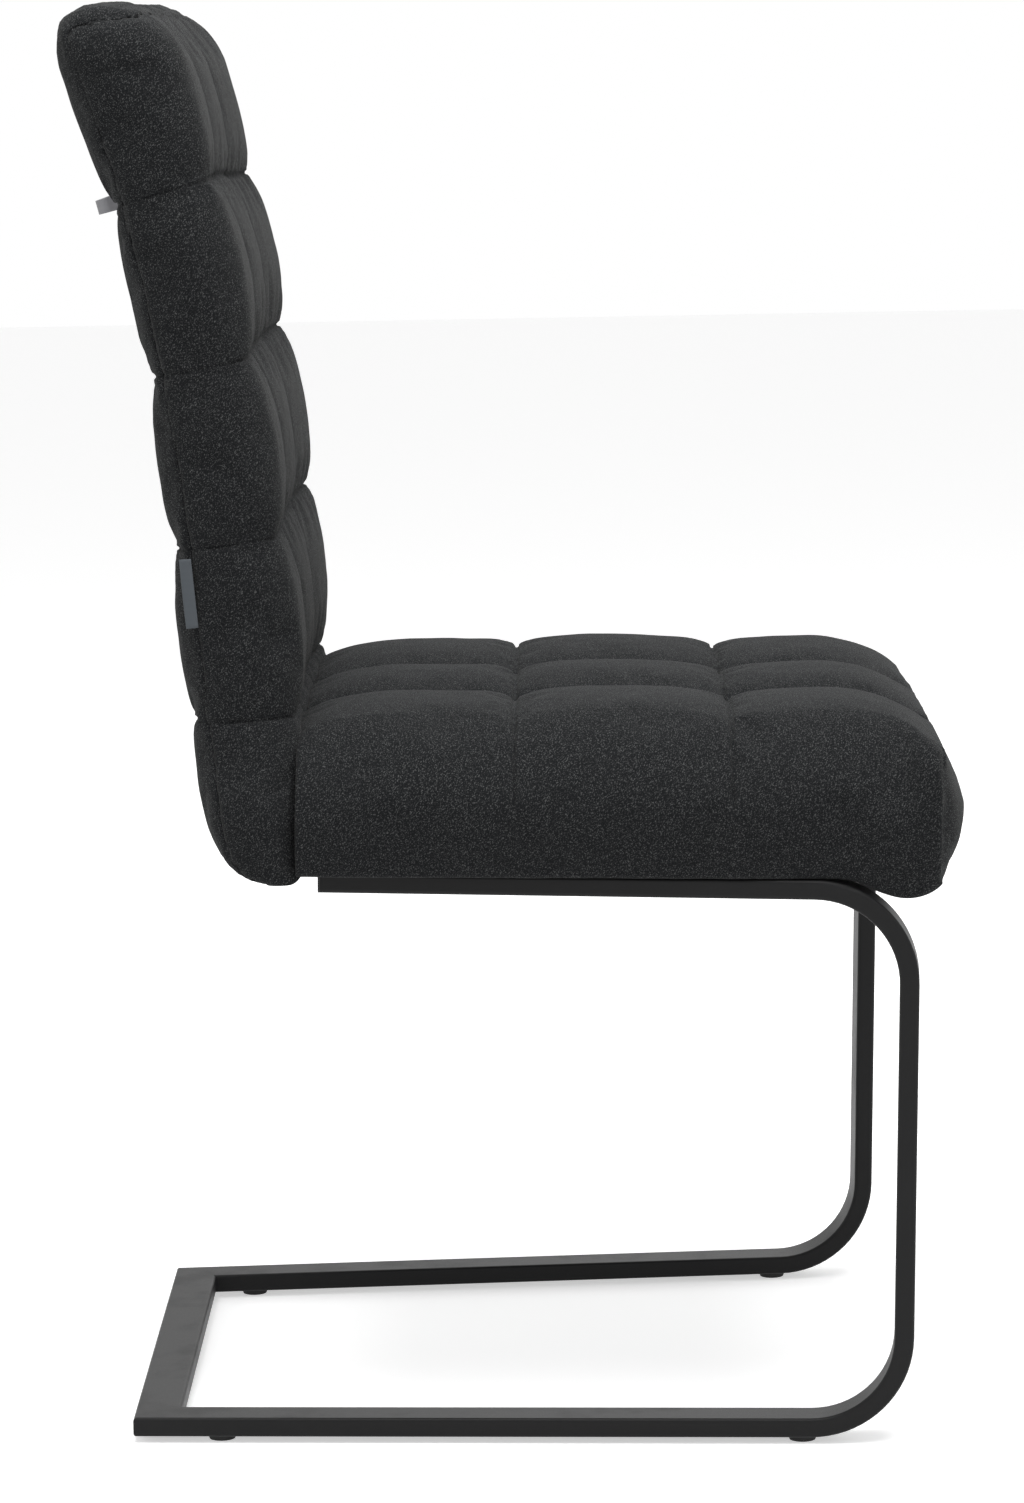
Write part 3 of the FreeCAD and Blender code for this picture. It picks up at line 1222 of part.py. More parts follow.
def group(label, members):
    """Like pieces kept as one group."""
    item = doc.addObject("Part::Compound", label)
    item.Label = label
    item.Links = members
    pieces.append(item)


seat_spots = []
for side, sign in SIDES:
    for run in BOLT_RUNS:
        spot = rail_point(sign, size(run))
        seat_spots.append((f"{side}_{run}", seat_place.multiply(Placement(spot, Rotation()))))
IN_RAIL = "(-sizes.rest_clearance - sizes.tube_wall - sizes.press_clearance)"
BORE = "sizes.bolt_radius + sizes.press_clearance"
FLANGE_TOP = f"({BOARD_TOP} - sizes.nut_flange_thickness)"
group("seat_bolts", [
    turned(f"seat_bolt_{name}", place, (
        (
            "sizes.bolt_head_radius",
            f"{IN_RAIL} - sizes.washer_thickness - sizes.bolt_head_height",
            "sizes.bolt_head_height",
        ),
        (
            "sizes.bolt_radius",
            f"{IN_RAIL} - sizes.washer_thickness",
            f"{BOARD_TOP} - {IN_RAIL} + sizes.washer_thickness - sizes.hole_clearance",
        ),
    ))
    for name, place in seat_spots
])
group("seat_washers", [
    turned(
        f"seat_washer_{name}", place,
        (("sizes.washer_radius", f"{IN_RAIL} - sizes.washer_thickness", "sizes.washer_thickness"),),
        BORE,
    )
    for name, place in seat_spots
])
group("seat_tnuts", [
    turned(f"seat_tnut_{name}", place, (
        ("sizes.nut_flange_radius", FLANGE_TOP, "sizes.nut_flange_thickness"),
        ("sizes.nut_barrel_radius", f"{BOARD_TOP} - sizes.nut_barrel_length", "sizes.nut_barrel_length"),
    ), BORE)
    for name, place in seat_spots
])

# Bracket bolts point down into the seat board, and rearward into the back board.
foot_spots = []
rise_spots = []
rearward = Rotation(Vector(1, 0, 0), 90)
for side, sign in SIDES:
    across = sign * size("bracket_spread")
    for bolt in FOOT_BOLTS:
        place = Placement(Vector(across, bracket_heel - size(bolt), 0), Rotation())
        foot_spots.append((f"{side}_{bolt}", seat_place.multiply(place)))
    for bolt in RISE_BOLTS:
        place = Placement(Vector(across, 0, heel_rise + size(bolt)), rearward)
        rise_spots.append((f"{side}_{bolt}", back_place.multiply(place)))
FOOT_TOP = f"({BOARD_TOP} + sizes.bracket_thickness)"
RISE_FACE = "(sizes.bracket_thickness + sizes.press_clearance - sizes.back_board_front)"
foot_bolts = [
    turned(f"foot_bolt_{name}", place, (
        ("sizes.bolt_head_radius", FOOT_TOP, "sizes.bolt_head_height"),
        (
            "sizes.bolt_radius", "sizes.hem_thickness + sizes.hole_clearance",
            f"{FOOT_TOP} - sizes.hem_thickness - sizes.hole_clearance",
        ),
    ))
    for name, place in foot_spots
]
rise_bolts = [
    turned(f"rise_bolt_{name}", place, (
        ("sizes.bolt_head_radius", RISE_FACE, "sizes.bolt_head_height"),
        (
            "sizes.bolt_radius", f"sizes.hole_clearance - {BOARD_REAR}",
            f"{RISE_FACE} + {BOARD_REAR} - sizes.hole_clearance",
        ),
    ))
    for name, place in rise_spots
]
group("bracket_bolts", foot_bolts + rise_bolts)
foot_nuts = [
    turned(f"foot_tnut_{name}", place, (
        ("sizes.nut_flange_radius", "sizes.hem_thickness", "sizes.nut_flange_thickness"),
        ("sizes.nut_barrel_radius", "sizes.hem_thickness", "sizes.nut_barrel_length"),
    ), BORE)
    for name, place in foot_spots
]
rise_nuts = [
    turned(f"rise_tnut_{name}", place, (
        ("sizes.nut_flange_radius", f"-{BOARD_REAR}", "sizes.nut_flange_thickness"),
        ("sizes.nut_barrel_radius", f"-{BOARD_REAR}", "sizes.nut_barrel_length"),
    ), BORE)
    for name, place in rise_spots
]
group("bracket_tnuts", foot_nuts + rise_nuts)

screw_spots = []
for side, sign in SIDES:
    screw = Placement(Vector(sign * size("handle_spacing") / 2, 0, 0), rearward)
    screw_spots.append((side, back_spot(0, 0, handle_rise).multiply(screw)))
SCREW_FACE = "(sizes.press_clearance - sizes.back_board_front)"
group("handle_screws", [
    turned(f"handle_screw_{name}", place, (
        ("sizes.screw_head_radius", SCREW_FACE, "sizes.screw_head_height"),
        (
            "sizes.screw_radius", f"-{BOARD_REAR} - sizes.screw_depth",
            f"{SCREW_FACE} + {BOARD_REAR} + sizes.screw_depth",
        ),
    ))
    for name, place in screw_spots
])

# Bare tab sewn into the seam between front and rear cover, on the sitter's right
label = doc.addObject("Part::Box", "label_tab")
label.Label = "label_tab"
label.setExpression("Length", "sizes.label_thickness")
label.setExpression("Width", "sizes.label_width")
label.setExpression("Height", "sizes.label_length")
label_x = -half_width - gap - size("label_thickness")
seam_spot = back_spot(label_x, size("seam_line") - 1, size("label_height"))
label.Placement = seam_spot.multiply(Placement(Vector(0, 0, 0), Rotation(Vector(0, 0, 1), -8)))
pieces.append(label)


doc.recompute()
for item in doc.Objects:
    if "Invalid" in item.State or "Error" in item.State:
        raise RuntimeError(f"{item.Name} failed: {item.State}")
os.makedirs("parts", exist_ok=True)
for piece in pieces:
    if piece.Shape.isNull() or not piece.Shape.isValid():
        raise RuntimeError(f"{piece.Label} has no valid shape")
    piece.Shape.exportStep(os.path.join("parts", f"{piece.Label}.step"))
    print(f"{piece.Label}: {len(piece.Shape.Solids)} solid(s), {piece.Shape.Volume / 1000:.1f} cm3")
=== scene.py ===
import math

import bmesh
import bpy
import numpy as np
from bpy.props import FloatProperty, FloatVectorProperty, IntProperty, PointerProperty
from bpy.types import Operator, Panel, PropertyGroup
from mathutils import Matrix, Vector


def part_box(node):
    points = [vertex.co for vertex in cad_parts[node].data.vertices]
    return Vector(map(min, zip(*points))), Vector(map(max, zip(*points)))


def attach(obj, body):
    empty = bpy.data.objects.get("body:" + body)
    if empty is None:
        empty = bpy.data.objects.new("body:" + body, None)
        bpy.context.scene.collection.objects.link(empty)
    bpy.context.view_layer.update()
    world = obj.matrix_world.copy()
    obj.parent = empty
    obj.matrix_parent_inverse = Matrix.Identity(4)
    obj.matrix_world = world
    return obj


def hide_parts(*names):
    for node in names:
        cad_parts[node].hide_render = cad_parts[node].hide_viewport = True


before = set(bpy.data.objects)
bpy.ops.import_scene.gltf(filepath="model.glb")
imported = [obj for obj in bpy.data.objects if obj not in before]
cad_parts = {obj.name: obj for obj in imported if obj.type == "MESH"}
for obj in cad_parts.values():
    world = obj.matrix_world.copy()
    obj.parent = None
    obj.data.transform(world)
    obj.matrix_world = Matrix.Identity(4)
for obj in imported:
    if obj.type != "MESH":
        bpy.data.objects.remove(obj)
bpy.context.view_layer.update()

bl_info = {
    "name": "Quilted cantilever chair",
    "version": (1, 0, 0),
    "blender": (4, 5, 0),
    "location": "3D View > Sidebar > Chair",
    "description": "Upholstery, finishes, light and camera for a quilted cantilever chair",
    "category": "Object",
}


# Places on the chair, all in metres. The seat lies on the rails' tilted plane, and the
# back stands on it: its own frame has y through the back and z up along it.

SEAT_PLACE = Matrix.Translation((0, 0, 0.39682)) @ Matrix.Rotation(math.radians(1.2027), 4, "X")
BACK_IN_SEAT = Matrix.Translation((0, 0.1882, 0.105)) @ Matrix.Rotation(math.radians(-2.8), 4, "X")
BACK_PLACE = SEAT_PLACE @ BACK_IN_SEAT


# Sizes and colours

class ChairSizes(PropertyGroup):
    """The sizes of the upholstery that a user would change."""
    seam_width: FloatProperty(
        name="Seam width", description="Width of the crease along a sewn channel",
        default=0.0032, min=0.001, max=0.01, subtype="DISTANCE", unit="LENGTH")
    seam_depth: FloatProperty(
        name="Seam depth", description="Depth of the crease along a sewn channel",
        default=0.0024, min=0.0, max=0.01, subtype="DISTANCE", unit="LENGTH")
    pucker_depth: FloatProperty(
        name="Pucker depth", description="Height of the small gathers beside a seam",
        default=0.0005, min=0.0, max=0.004, subtype="DISTANCE", unit="LENGTH")
    swell: FloatProperty(
        name="Swell", description="How far the cloth may swell over its wadding",
        default=0.0045, min=0.0, max=0.02, subtype="DISTANCE", unit="LENGTH")
    thread_pitch: FloatProperty(
        name="Thread pitch", description="Distance between the threads of the weave",
        default=0.00055, min=0.0003, max=0.005, subtype="DISTANCE", unit="LENGTH")
    simulation_frames: IntProperty(
        name="Simulation frames", description="Length of the cloth simulation",
        default=20, min=1, max=60)


class ChairColours(PropertyGroup):
    """The colours of the finishes."""
    cloth_dark: FloatVectorProperty(
        name="Cloth, dark threads", description="The deep threads of the charcoal cloth",
        default=(0.0078, 0.0085, 0.0094), min=0, max=1, subtype="COLOR")
    cloth_light: FloatVectorProperty(
        name="Cloth, light threads", description="The light flecks of the charcoal cloth",
        default=(0.108, 0.110, 0.110), min=0, max=1, subtype="COLOR")
    powder_coat: FloatVectorProperty(
        name="Frame coat", description="Matte powder coat on the steel frame",
        default=(0.0095, 0.0095, 0.0098), min=0, max=1, subtype="COLOR")
    handle_metal: FloatVectorProperty(
        name="Handle metal", description="Satin metal of the bow handle",
        default=(0.20, 0.20, 0.21), min=0, max=1, subtype="COLOR")
    floor: FloatVectorProperty(
        name="Floor", description="Pale floor and backdrop",
        default=(0.86, 0.86, 0.86), min=0, max=1, subtype="COLOR")


# Shader maths

def plug(tree, slot, value):
    """Links a value to a socket, or writes a constant there."""
    if isinstance(value, Value):
        tree.links.new(value.socket, slot)
    else:
        slot.default_value = value


class Value:
    """A shader socket that adds Math nodes when it is used in arithmetic."""

    def __init__(self, tree, socket):
        self.tree = tree
        self.socket = socket

    def _math(self, operation, *values):
        node = self.tree.nodes.new("ShaderNodeMath")
        node.operation = operation
        for slot, value in zip(node.inputs, values):
            plug(self.tree, slot, value)
        return Value(self.tree, node.outputs[0])

    def __add__(self, other):
        return self._math("ADD", self, other)

    def __radd__(self, other):
        return self._math("ADD", other, self)

    def __sub__(self, other):
        return self._math("SUBTRACT", self, other)

    def __rsub__(self, other):
        return self._math("SUBTRACT", other, self)

    def __mul__(self, other):
        return self._math("MULTIPLY", self, other)

    def __rmul__(self, other):
        return self._math("MULTIPLY", other, self)

    def sine(self):
        return self._math("SINE", self)


class Nodes:
    """A node tree, and the one way in which it gets nodes other than maths."""

    def __init__(self, tree):
        self.tree = tree

    def node(self, kind, settings=None, output=0, **sockets):
        """Adds a node: its settings first, then the values or links of its sockets, by name or number."""
        made = self.tree.nodes.new(kind)
        for key, setting in (settings or {}).items():
            setattr(made, key, setting)
        for key, value in sockets.items():
            slot = made.inputs[int(key[1:])] if key[0] == "_" else made.inputs[key.replace("_", " ")]
            plug(self.tree, slot, value)
        return Value(self.tree, made.outputs[output])

    def seen_directly(self):
        """1 for what the camera sees itself, in a reflection or through glass, and 0 for other light."""
        camera = self.node("ShaderNodeLightPath", output="Is Camera Ray")
        glossy = self.node("ShaderNodeLightPath", output="Is Glossy Ray")
        transmitted = self.node("ShaderNodeLightPath", output="Is Transmission Ray")
        return self.node(
            "ShaderNodeMath", {"operation": "ADD", "use_clamp": True}, _0=camera + glossy, _1=transmitted)

    def show(self, shader, output):
        """Links a shader to the tree's output node."""
        plug(self.tree, self.tree.nodes[output].inputs["Surface"], shader)


class Finish(Nodes):
    """A material and its nodes."""

    def __init__(self, name):
        self.material = bpy.data.materials.new(name)
        self.material.use_nodes = True
        super().__init__(self.material.node_tree)
        self.shader = self.tree.nodes["Principled BSDF"]

    def place(self):
        """The place on the chair, in metres."""
        return self.node("ShaderNodeTexCoord", output="Object")

    def noise(self, size, detail=2.0, at=None, roughness=0.5):
        """Smooth noise from 0 to 1 whose grains have a size in metres."""
        return self.node(
            "ShaderNodeTexNoise", {"noise_dimensions": "3D"}, "Fac",
            Vector=at or self.place(), Scale=1 / size, Detail=detail, Roughness=roughness)

    def dots(self, pitch, at):
        """Distance to the nearest of scattered points that lie about one pitch apart, in pitches."""
        return self.node(
            "ShaderNodeTexVoronoi", {"voronoi_dimensions": "3D", "feature": "F1"}, "Distance",
            Vector=at, Scale=1 / pitch)

    def stretch(self, at, factors):
        """A place whose axes are scaled, so that a noise is drawn out along the small ones."""
        return self.node("ShaderNodeVectorMath", {"operation": "MULTIPLY"}, _0=at, _1=factors)

    def above(self, value, edge, softness):
        """0 under the edge and 1 over it, with a soft step."""
        return self.node(
            "ShaderNodeMapRange", {"interpolation_type": "SMOOTHSTEP"}, "Result",
            Value=value, From_Min=edge - softness, From_Max=edge + softness)

    def mix(self, share, first, second):
        """A colour between two others."""
        return self.node(
            "ShaderNodeMix", {"data_type": "RGBA"}, 2,
            _0=share, _6=(*first[:3], 1.0), _7=(*second[:3], 1.0))

    def bump(self, height, distance, strength=1.0, under=None):
        """A bump whose full height is a distance in metres."""
        sockets = {"Height": height, "Distance": distance, "Strength": strength}
        if under:
            sockets["Normal"] = under
        return self.node("ShaderNodeBump", None, "Normal", **sockets)

    def surface(self, **sockets):
        """Values and links of the shader itself."""
        for key, value in sockets.items():
            plug(self.tree, self.shader.inputs[key.replace("_", " ")], value)
        return self.material


# Finishes

def shaded(colour, factor):
    """A colour made lighter or darker."""
    return tuple(min(1.0, factor * part) for part in colour)


def charcoal_cloth(name):
    """Salt-and-pepper woven cloth: dark threads, light flecks, slubs and a soft nap."""
    colours = bpy.context.scene.chair_colours
    pitch = bpy.context.scene.chair_sizes.thread_pitch
    cloth = Finish(name)
    place = cloth.place()
    # Threads run on a slant, so the flecks are drawn out along it.
    slanted = cloth.node(
        "ShaderNodeMapping", {"vector_type": "TEXTURE"},
        Vector=place, Rotation=(math.radians(38), 0, math.radians(20)), Scale=(1.0, 1.0, 1.9))
    flecks = cloth.noise(pitch * 1.15, 1.0, slanted, 0.6)
    slubs = cloth.noise(pitch * 2.0, 2.0, slanted, 0.6)
    mottle = cloth.noise(0.045, 2.0, place)
    threads = cloth.dots(pitch, slanted)
    light = cloth.above(flecks * 0.80 + slubs * 0.20, 0.57, 0.09)
    speck = cloth.above(flecks, 0.64, 0.05)
    share = light * (0.24 + mottle * 0.14) * (1.2 - threads * 0.6) + speck * 0.42
    colour = cloth.mix(share, colours.cloth_dark, colours.cloth_light)
    weave = cloth.bump((1 - threads) * 0.5 + flecks * 0.5, 0.0005, 0.6)
    weave = cloth.bump(slubs, 0.0009, 0.3, weave)
    return cloth.surface(
        Base_Color=colour, Roughness=0.94 - light * 0.10, Normal=weave,
        Specular_IOR_Level=0.10, Sheen_Weight=0.04, Sheen_Roughness=0.5,
        Sheen_Tint=(0.94, 0.94, 0.90, 1.0))


def frame_coat(name, colour):
    """Matte powder coat with its fine orange-peel grain."""
    coat = Finish(name)
    grain = coat.noise(0.00055)
    wave = coat.noise(0.0060)
    wear = coat.above(coat.noise(0.035, 3.0), 0.60, 0.14)
    tone = coat.mix(wear * 0.35, colour, shaded(colour, 1.5))
    peel = coat.bump(grain, 0.00012, 0.45)
    peel = coat.bump(wave, 0.00018, 0.30, peel)
    return coat.surface(
        Base_Color=tone, Roughness=0.36 + grain * 0.14 + wear * 0.06, Normal=peel,
        Specular_IOR_Level=0.15)


def satin_metal(name, colour, grain_size, roughness):
    """Metal with fine grinding marks along X."""
    metal = Finish(name)
    marks = metal.noise(grain_size, 2.0, metal.stretch(metal.place(), (0.06, 1.0, 1.0)))
    smudge = metal.noise(0.012)
    return metal.surface(
        Base_Color=metal.mix(smudge, shaded(colour, 0.86), colour), Metallic=0.9,
        Roughness=roughness + marks * 0.14 + smudge * 0.05, Normal=metal.bump(marks, 0.00006, 0.4))


def plywood(name):
    """Veneer face with its grain along the sheet."""
    wood = Finish(name)
    grain = wood.noise(0.004, 5.0, wood.stretch(wood.place(), (1.0, 0.08, 0.08)), 0.6)
    tone = wood.mix(grain, (0.30, 0.18, 0.09), (0.58, 0.41, 0.24))
    return wood.surface(
        Base_Color=tone, Roughness=0.62 + grain * 0.2, Normal=wood.bump(grain, 0.0003, 0.4))


def moulded_plastic(name, colour):
    """Matte moulded plastic with a fine spark-eroded texture."""
    plastic = Finish(name)
    grain = plastic.noise(0.0004)
    scuff = plastic.above(plastic.noise(0.006, 3.0), 0.58, 0.1)
    return plastic.surface(
        Base_Color=plastic.mix(scuff * 0.4, colour, shaded(colour, 2.2)),
        Roughness=0.52 + grain * 0.16, Normal=plastic.bump(grain, 0.00008, 0.5))


def lining_cloth(name):
    """Thin black spun-bonded lining with its embossed points."""
    lining = Finish(name)
    points = lining.dots(0.0014, lining.place())
    fibres = lining.noise(0.0007, 3.0)
    return lining.surface(
        Base_Color=lining.mix(fibres, (0.006, 0.006, 0.006), (0.020, 0.020, 0.021)),
        Roughness=0.88 - points * 0.1, Normal=lining.bump(points * 0.5 + fibres * 0.5, 0.0003, 0.6),
        Sheen_Weight=0.1)


def woven_tape(name):
    """The plain woven tab: fine ribs across a dull blue-grey tape."""
    tape = Finish(name)
    rib_pitch = 0.0008
    height = tape.node("ShaderNodeSeparateXYZ", None, "Z", Vector=tape.place())
    ribs = (height * (2 * math.pi / rib_pitch)).sine() * 0.5 + 0.5
    fibres = tape.noise(0.0005)
    tone = tape.mix(ribs * 0.5 + fibres * 0.5, (0.034, 0.041, 0.049), (0.070, 0.082, 0.093))
    return tape.surface(
        Base_Color=tone, Roughness=0.62 + fibres * 0.2, Normal=tape.bump(ribs, 0.00015, 0.6),
        Sheen_Weight=0.1)


def finish(name, build, *values):
    """A finish by name, made once."""
    return bpy.data.materials.get(name) or build(name, *values)


def dress(piece, material):
    """Gives a new piece its finish and its slot, and lets it ride on the chair."""
    piece.data.materials.append(material)
    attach(piece, "root")


def dress_nodes(names, material):
    """Gives solids that keep their own shape a finish."""
    for name in names:
        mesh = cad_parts[name].data
        mesh.materials.clear()
        mesh.materials.append(material)


# Quilted cushions

# Distance of the first grid line from a seam.
SEAM_LINE = 0.0016
# Half the distance between the two lengthwise seams of seat and back.
COLUMN_SEAM = 0.0735
# What each ring point keeps after its three coordinates: distances to seams, and how hard each pulls.
ACROSS, ACROSS_PULL, ALONG, ALONG_PULL, EDGE, EDGE_PULL, FACE, BEHIND = range(3, 11)


def grid_size():
    """Distance between grid lines away from the seams."""
    return 0.0062


def between(start, end, count, edge):
    """Steps from one seam to the next, closer together beside the seams."""
    span = end - start
    fine = [0.0, SEAM_LINE, 2.4 * SEAM_LINE]
    inner = np.linspace(edge, abs(span) - edge, count)
    steps = np.concatenate([fine, inner, abs(span) - np.array(fine[::-1])])
    return start + np.sign(span) * steps


def seamed_steps(stops):
    """Graded steps over several cells, with every seam on a step."""
    edge = 4.8 * SEAM_LINE
    chain = []
    for start, end in zip(stops, stops[1:]):
        count = max(2, int(round((abs(end - start) - 2 * edge) / grid_size())) + 1)
        steps = between(start, end, count, edge)
        chain.extend(steps if not chain else steps[1:])
    return np.array(chain)


def pillow(share):
    """Height of a filled channel across it: steep at both seams and full in the middle."""
    return np.clip(1 - np.abs(2 * share - 1) ** 2.4, 0, 1) ** 0.8


def cells(places, stops):
    """Channel height of each place, and its distance to the nearest inner seam."""
    height = np.zeros_like(places)
    for start, end in zip(stops, stops[1:]):
        inside = (places - start) * np.sign(end - start) >= 0
        inside &= (end - places) * np.sign(end - start) >= 0
        height[inside] = pillow((places[inside] - start) / (end - start))
    inner = np.array(stops[1:-1])
    distance = np.min(np.abs(places[:, None] - inner[None, :]), axis=1)
    return height, distance


def bezier(first, lead, trail, last, count):
    """Points of a cubic curve."""
    t = np.linspace(0, 1, count)[:, None]
    first, lead, trail, last = (np.asarray(point) for point in (first, lead, trail, last))
    return (
        (1 - t) ** 3 * first + 3 * (1 - t) ** 2 * t * lead
        + 3 * (1 - t) * t ** 2 * trail + t ** 3 * last)


def soft(share):
    """0 to 1 with soft ends."""
    share = np.clip(share, 0, 1)
    return share * share * (3 - 2 * share)


def even(points, count):
    """The same line with evenly spaced points."""
    length = np.concatenate([[0], np.cumsum(np.linalg.norm(np.diff(points, axis=0), axis=1))])
    wanted = np.linspace(0, length[-1], count)
    return np.stack([np.interp(wanted, length, points[:, k]) for k in range(points.shape[1])], axis=1)


def round_ring(counts, *values):
    """A number for each ring point, from one number or one array for each of the ring's four sides."""
    sides = [np.broadcast_to(np.asarray(value, float), count) for count, value in zip(counts, values)]
    return np.concatenate(sides)


def with_values(points, *values):
    """Ring points and what they keep: one number for all, or one for each."""
    return np.column_stack([points, *(np.broadcast_to(value, len(points)) for value in values)])


def fill_patch(low, high, left, right):
    """Points of a patch between four boundary rows (low and high run alike, so do left and right)."""
    across, up = len(low), len(left)
    u = np.linspace(0, 1, across)[:, None, None]
    v = np.linspace(0, 1, up)[None, :, None]
    blended = (1 - v) * low[:, None, :] + v * high[:, None, :]
    blended = blended + (1 - u) * left[None, :, :] + u * right[None, :, :]
    corners = (1 - u) * (1 - v) * low[0] + u * (1 - v) * low[-1]
    corners = corners + (1 - u) * v * high[0] + u * v * high[-1]
    return blended - corners


class Shell:
    """A closed cushion: rings of points round it, and a patch over each end."""

    def __init__(self, rings, counts, end_form=None):
        """counts: points of each of a ring's four sides. end_form shapes the patch over the last ring."""
        self.rings = rings
        self.end_form = end_form
        self.counts = counts
        self.around = rings.shape[1]
        self.faces = []
        self.points = [rings.reshape(-1, rings.shape[2])]
        self.total = rings.shape[0] * self.around
        for row in range(rings.shape[0] - 1):
            for step in range(self.around):
                after = (step + 1) % self.around
                low, high = row * self.around, (row + 1) * self.around
                self.faces.append((low + step, low + after, high + after, high + step))
        self.close(0, True)
        self.close(rings.shape[0] - 1, False)

    def close(self, row, flip):
        """Closes one end with a patch that shares the ring's points."""
        first, second, third, fourth = self.counts
        ring = self.rings[row]
        corner = np.cumsum([0, first, second, third])
        low = list(range(corner[0], corner[1] + 1))
        right = list(range(corner[1], corner[2] + 1))
        high = list(range(corner[2], corner[3] + 1))[::-1]
        left = [step % self.around for step in range(corner[3], corner[3] + fourth + 1)][::-1]
        grid = fill_patch(ring[low], ring[high], ring[left], ring[right])
        if self.end_form and not flip:
            grid = self.end_form(grid)
        index = np.zeros(grid.shape[:2], int)
        base = row * self.around
        index[:, 0] = base + np.array(low)
        index[:, -1] = base + np.array(high)
        index[0, :] = base + np.array(left)
        index[-1, :] = base + np.array(right)
        inner = grid[1:-1, 1:-1].reshape(-1, grid.shape[2])
        index[1:-1, 1:-1] = self.total + np.arange(len(inner)).reshape(grid.shape[0] - 2, grid.shape[1] - 2)
        self.points.append(inner)
        self.total += len(inner)
        for across in range(grid.shape[0] - 1):
            for up in range(grid.shape[1] - 1):
                face = (
                    index[across, up], index[across + 1, up],
                    index[across + 1, up + 1], index[across, up + 1],
                )
                self.faces.append(tuple(int(i) for i in (face[::-1] if flip else face)))

    def data(self):
        """All points with their values, and the faces."""
        return np.concatenate(self.points), self.faces


def smooth_object(name, mesh):
    """A smooth object of a mesh."""
    for polygon in mesh.polygons:
        polygon.use_smooth = True
    made = bpy.data.objects.new(name, mesh)
    bpy.context.scene.collection.objects.link(made)
    return made


def mesh_object(name, points, faces, place=None):
    """A smooth mesh object from points in metres."""
    mesh = bpy.data.meshes.new(name)
    mesh.from_pydata([tuple(float(c) for c in point) for point in points], [], faces)
    if place is not None:
        mesh.transform(place)
    mesh.validate()
    mesh.update()
    return smooth_object(name, mesh)


def positions(mesh):
    """The points of a mesh as an array."""
    flat = np.empty(len(mesh.vertices) * 3, np.float32)
    mesh.vertices.foreach_get("co", flat)
    return flat.reshape(-1, 3).astype(float)


def normals(mesh):
    """The point normals of a mesh as an array."""
    flat = np.empty(len(mesh.vertices) * 3, np.float32)
    mesh.vertex_normals.foreach_get("vector", flat)
    return flat.reshape(-1, 3).astype(float)


def move_to(mesh, points):
    """Moves the points of a mesh."""
    mesh.vertices.foreach_set("co", np.asarray(points, np.float32).ravel())
    mesh.update()


def keep_values(mesh, **values):
    """Keeps numbers at the points, so that a subdivision carries them along."""
    for name, numbers in values.items():
        layer = mesh.attributes.new(name, "FLOAT", "POINT")
        layer.data.foreach_set("value", np.asarray(numbers, np.float32))


def value_of(mesh, name):
    """Numbers kept at the points."""
    numbers = np.empty(len(mesh.vertices), np.float32)
    mesh.attributes[name].data.foreach_get("value", numbers)
    return numbers.astype(float)


def stitched_mesh(name, shell):
    """A shell as a mesh that keeps its distances to the seams, and all that its points keep."""
    points, faces = shell.data()
    piece = mesh_object(name, points[:, :3], faces)
    keep_values(
        piece.data, seam_across=points[:, ACROSS], seam_across_pull=points[:, ACROSS_PULL],
        seam_along=points[:, ALONG], seam_along_pull=points[:, ALONG_PULL],
        seam_edge=points[:, EDGE], seam_edge_pull=points[:, EDGE_PULL])
    return piece, points


def bake_modifiers(piece):
    """Applies the piece's modifiers."""
    depsgraph = bpy.context.evaluated_depsgraph_get()
    baked = bpy.data.meshes.new_from_object(
        piece.evaluated_get(depsgraph), preserve_all_data_layers=True, depsgraph=depsgraph)
    old = piece.data
    piece.modifiers.clear()
    piece.data = baked
    bpy.data.meshes.remove(old)


# A point nearer to a seam than this is sewn down, and a loosely held one follows the cloth in part.
ON_SEAM = 0.0003
LOOSELY = 0.6


def swell_cloth(piece, held):
    """Swells the cloth between its seams under pressure, and caps how far it moves."""
    sizes = bpy.context.scene.chair_sizes
    rest = positions(piece.data)
    group = piece.vertex_groups.new(name="stitched")
    for weight in (1.0, LOOSELY):
        chosen = np.nonzero(np.isclose(held, weight))[0].tolist()
        if chosen:
            group.add(chosen, weight, "REPLACE")
    cloth = piece.modifiers.new("swell", "CLOTH")
    settings = cloth.settings
    settings.vertex_group_mass = "stitched"
    settings.pin_stiffness = 12
    settings.quality = 5
    settings.mass = 0.35
    settings.tension_stiffness = 18
    settings.compression_stiffness = 14
    settings.shear_stiffness = 8
    settings.bending_stiffness = 1.6
    settings.shrink_min = -0.022
    settings.use_pressure = True
    settings.uniform_pressure_force = 4.0
    settings.effector_weights.gravity = 0.0
    cloth.collision_settings.use_collision = False
    cloth.collision_settings.use_self_collision = False
    cloth.point_cache.frame_start = 1
    cloth.point_cache.frame_end = sizes.simulation_frames
    for number in range(1, sizes.simulation_frames + 1):
        bpy.context.scene.frame_set(number)
    depsgraph = bpy.context.evaluated_depsgraph_get()
    moved = positions(piece.evaluated_get(depsgraph).data)
    piece.modifiers.clear()
    piece.vertex_groups.clear()
    bpy.context.scene.frame_set(1)
    step = moved - rest
    length = np.linalg.norm(step, axis=1)
    length[length == 0] = 1
    share = sizes.swell * np.tanh(length / sizes.swell) / length
    move_to(piece.data, rest + step * share[:, None])


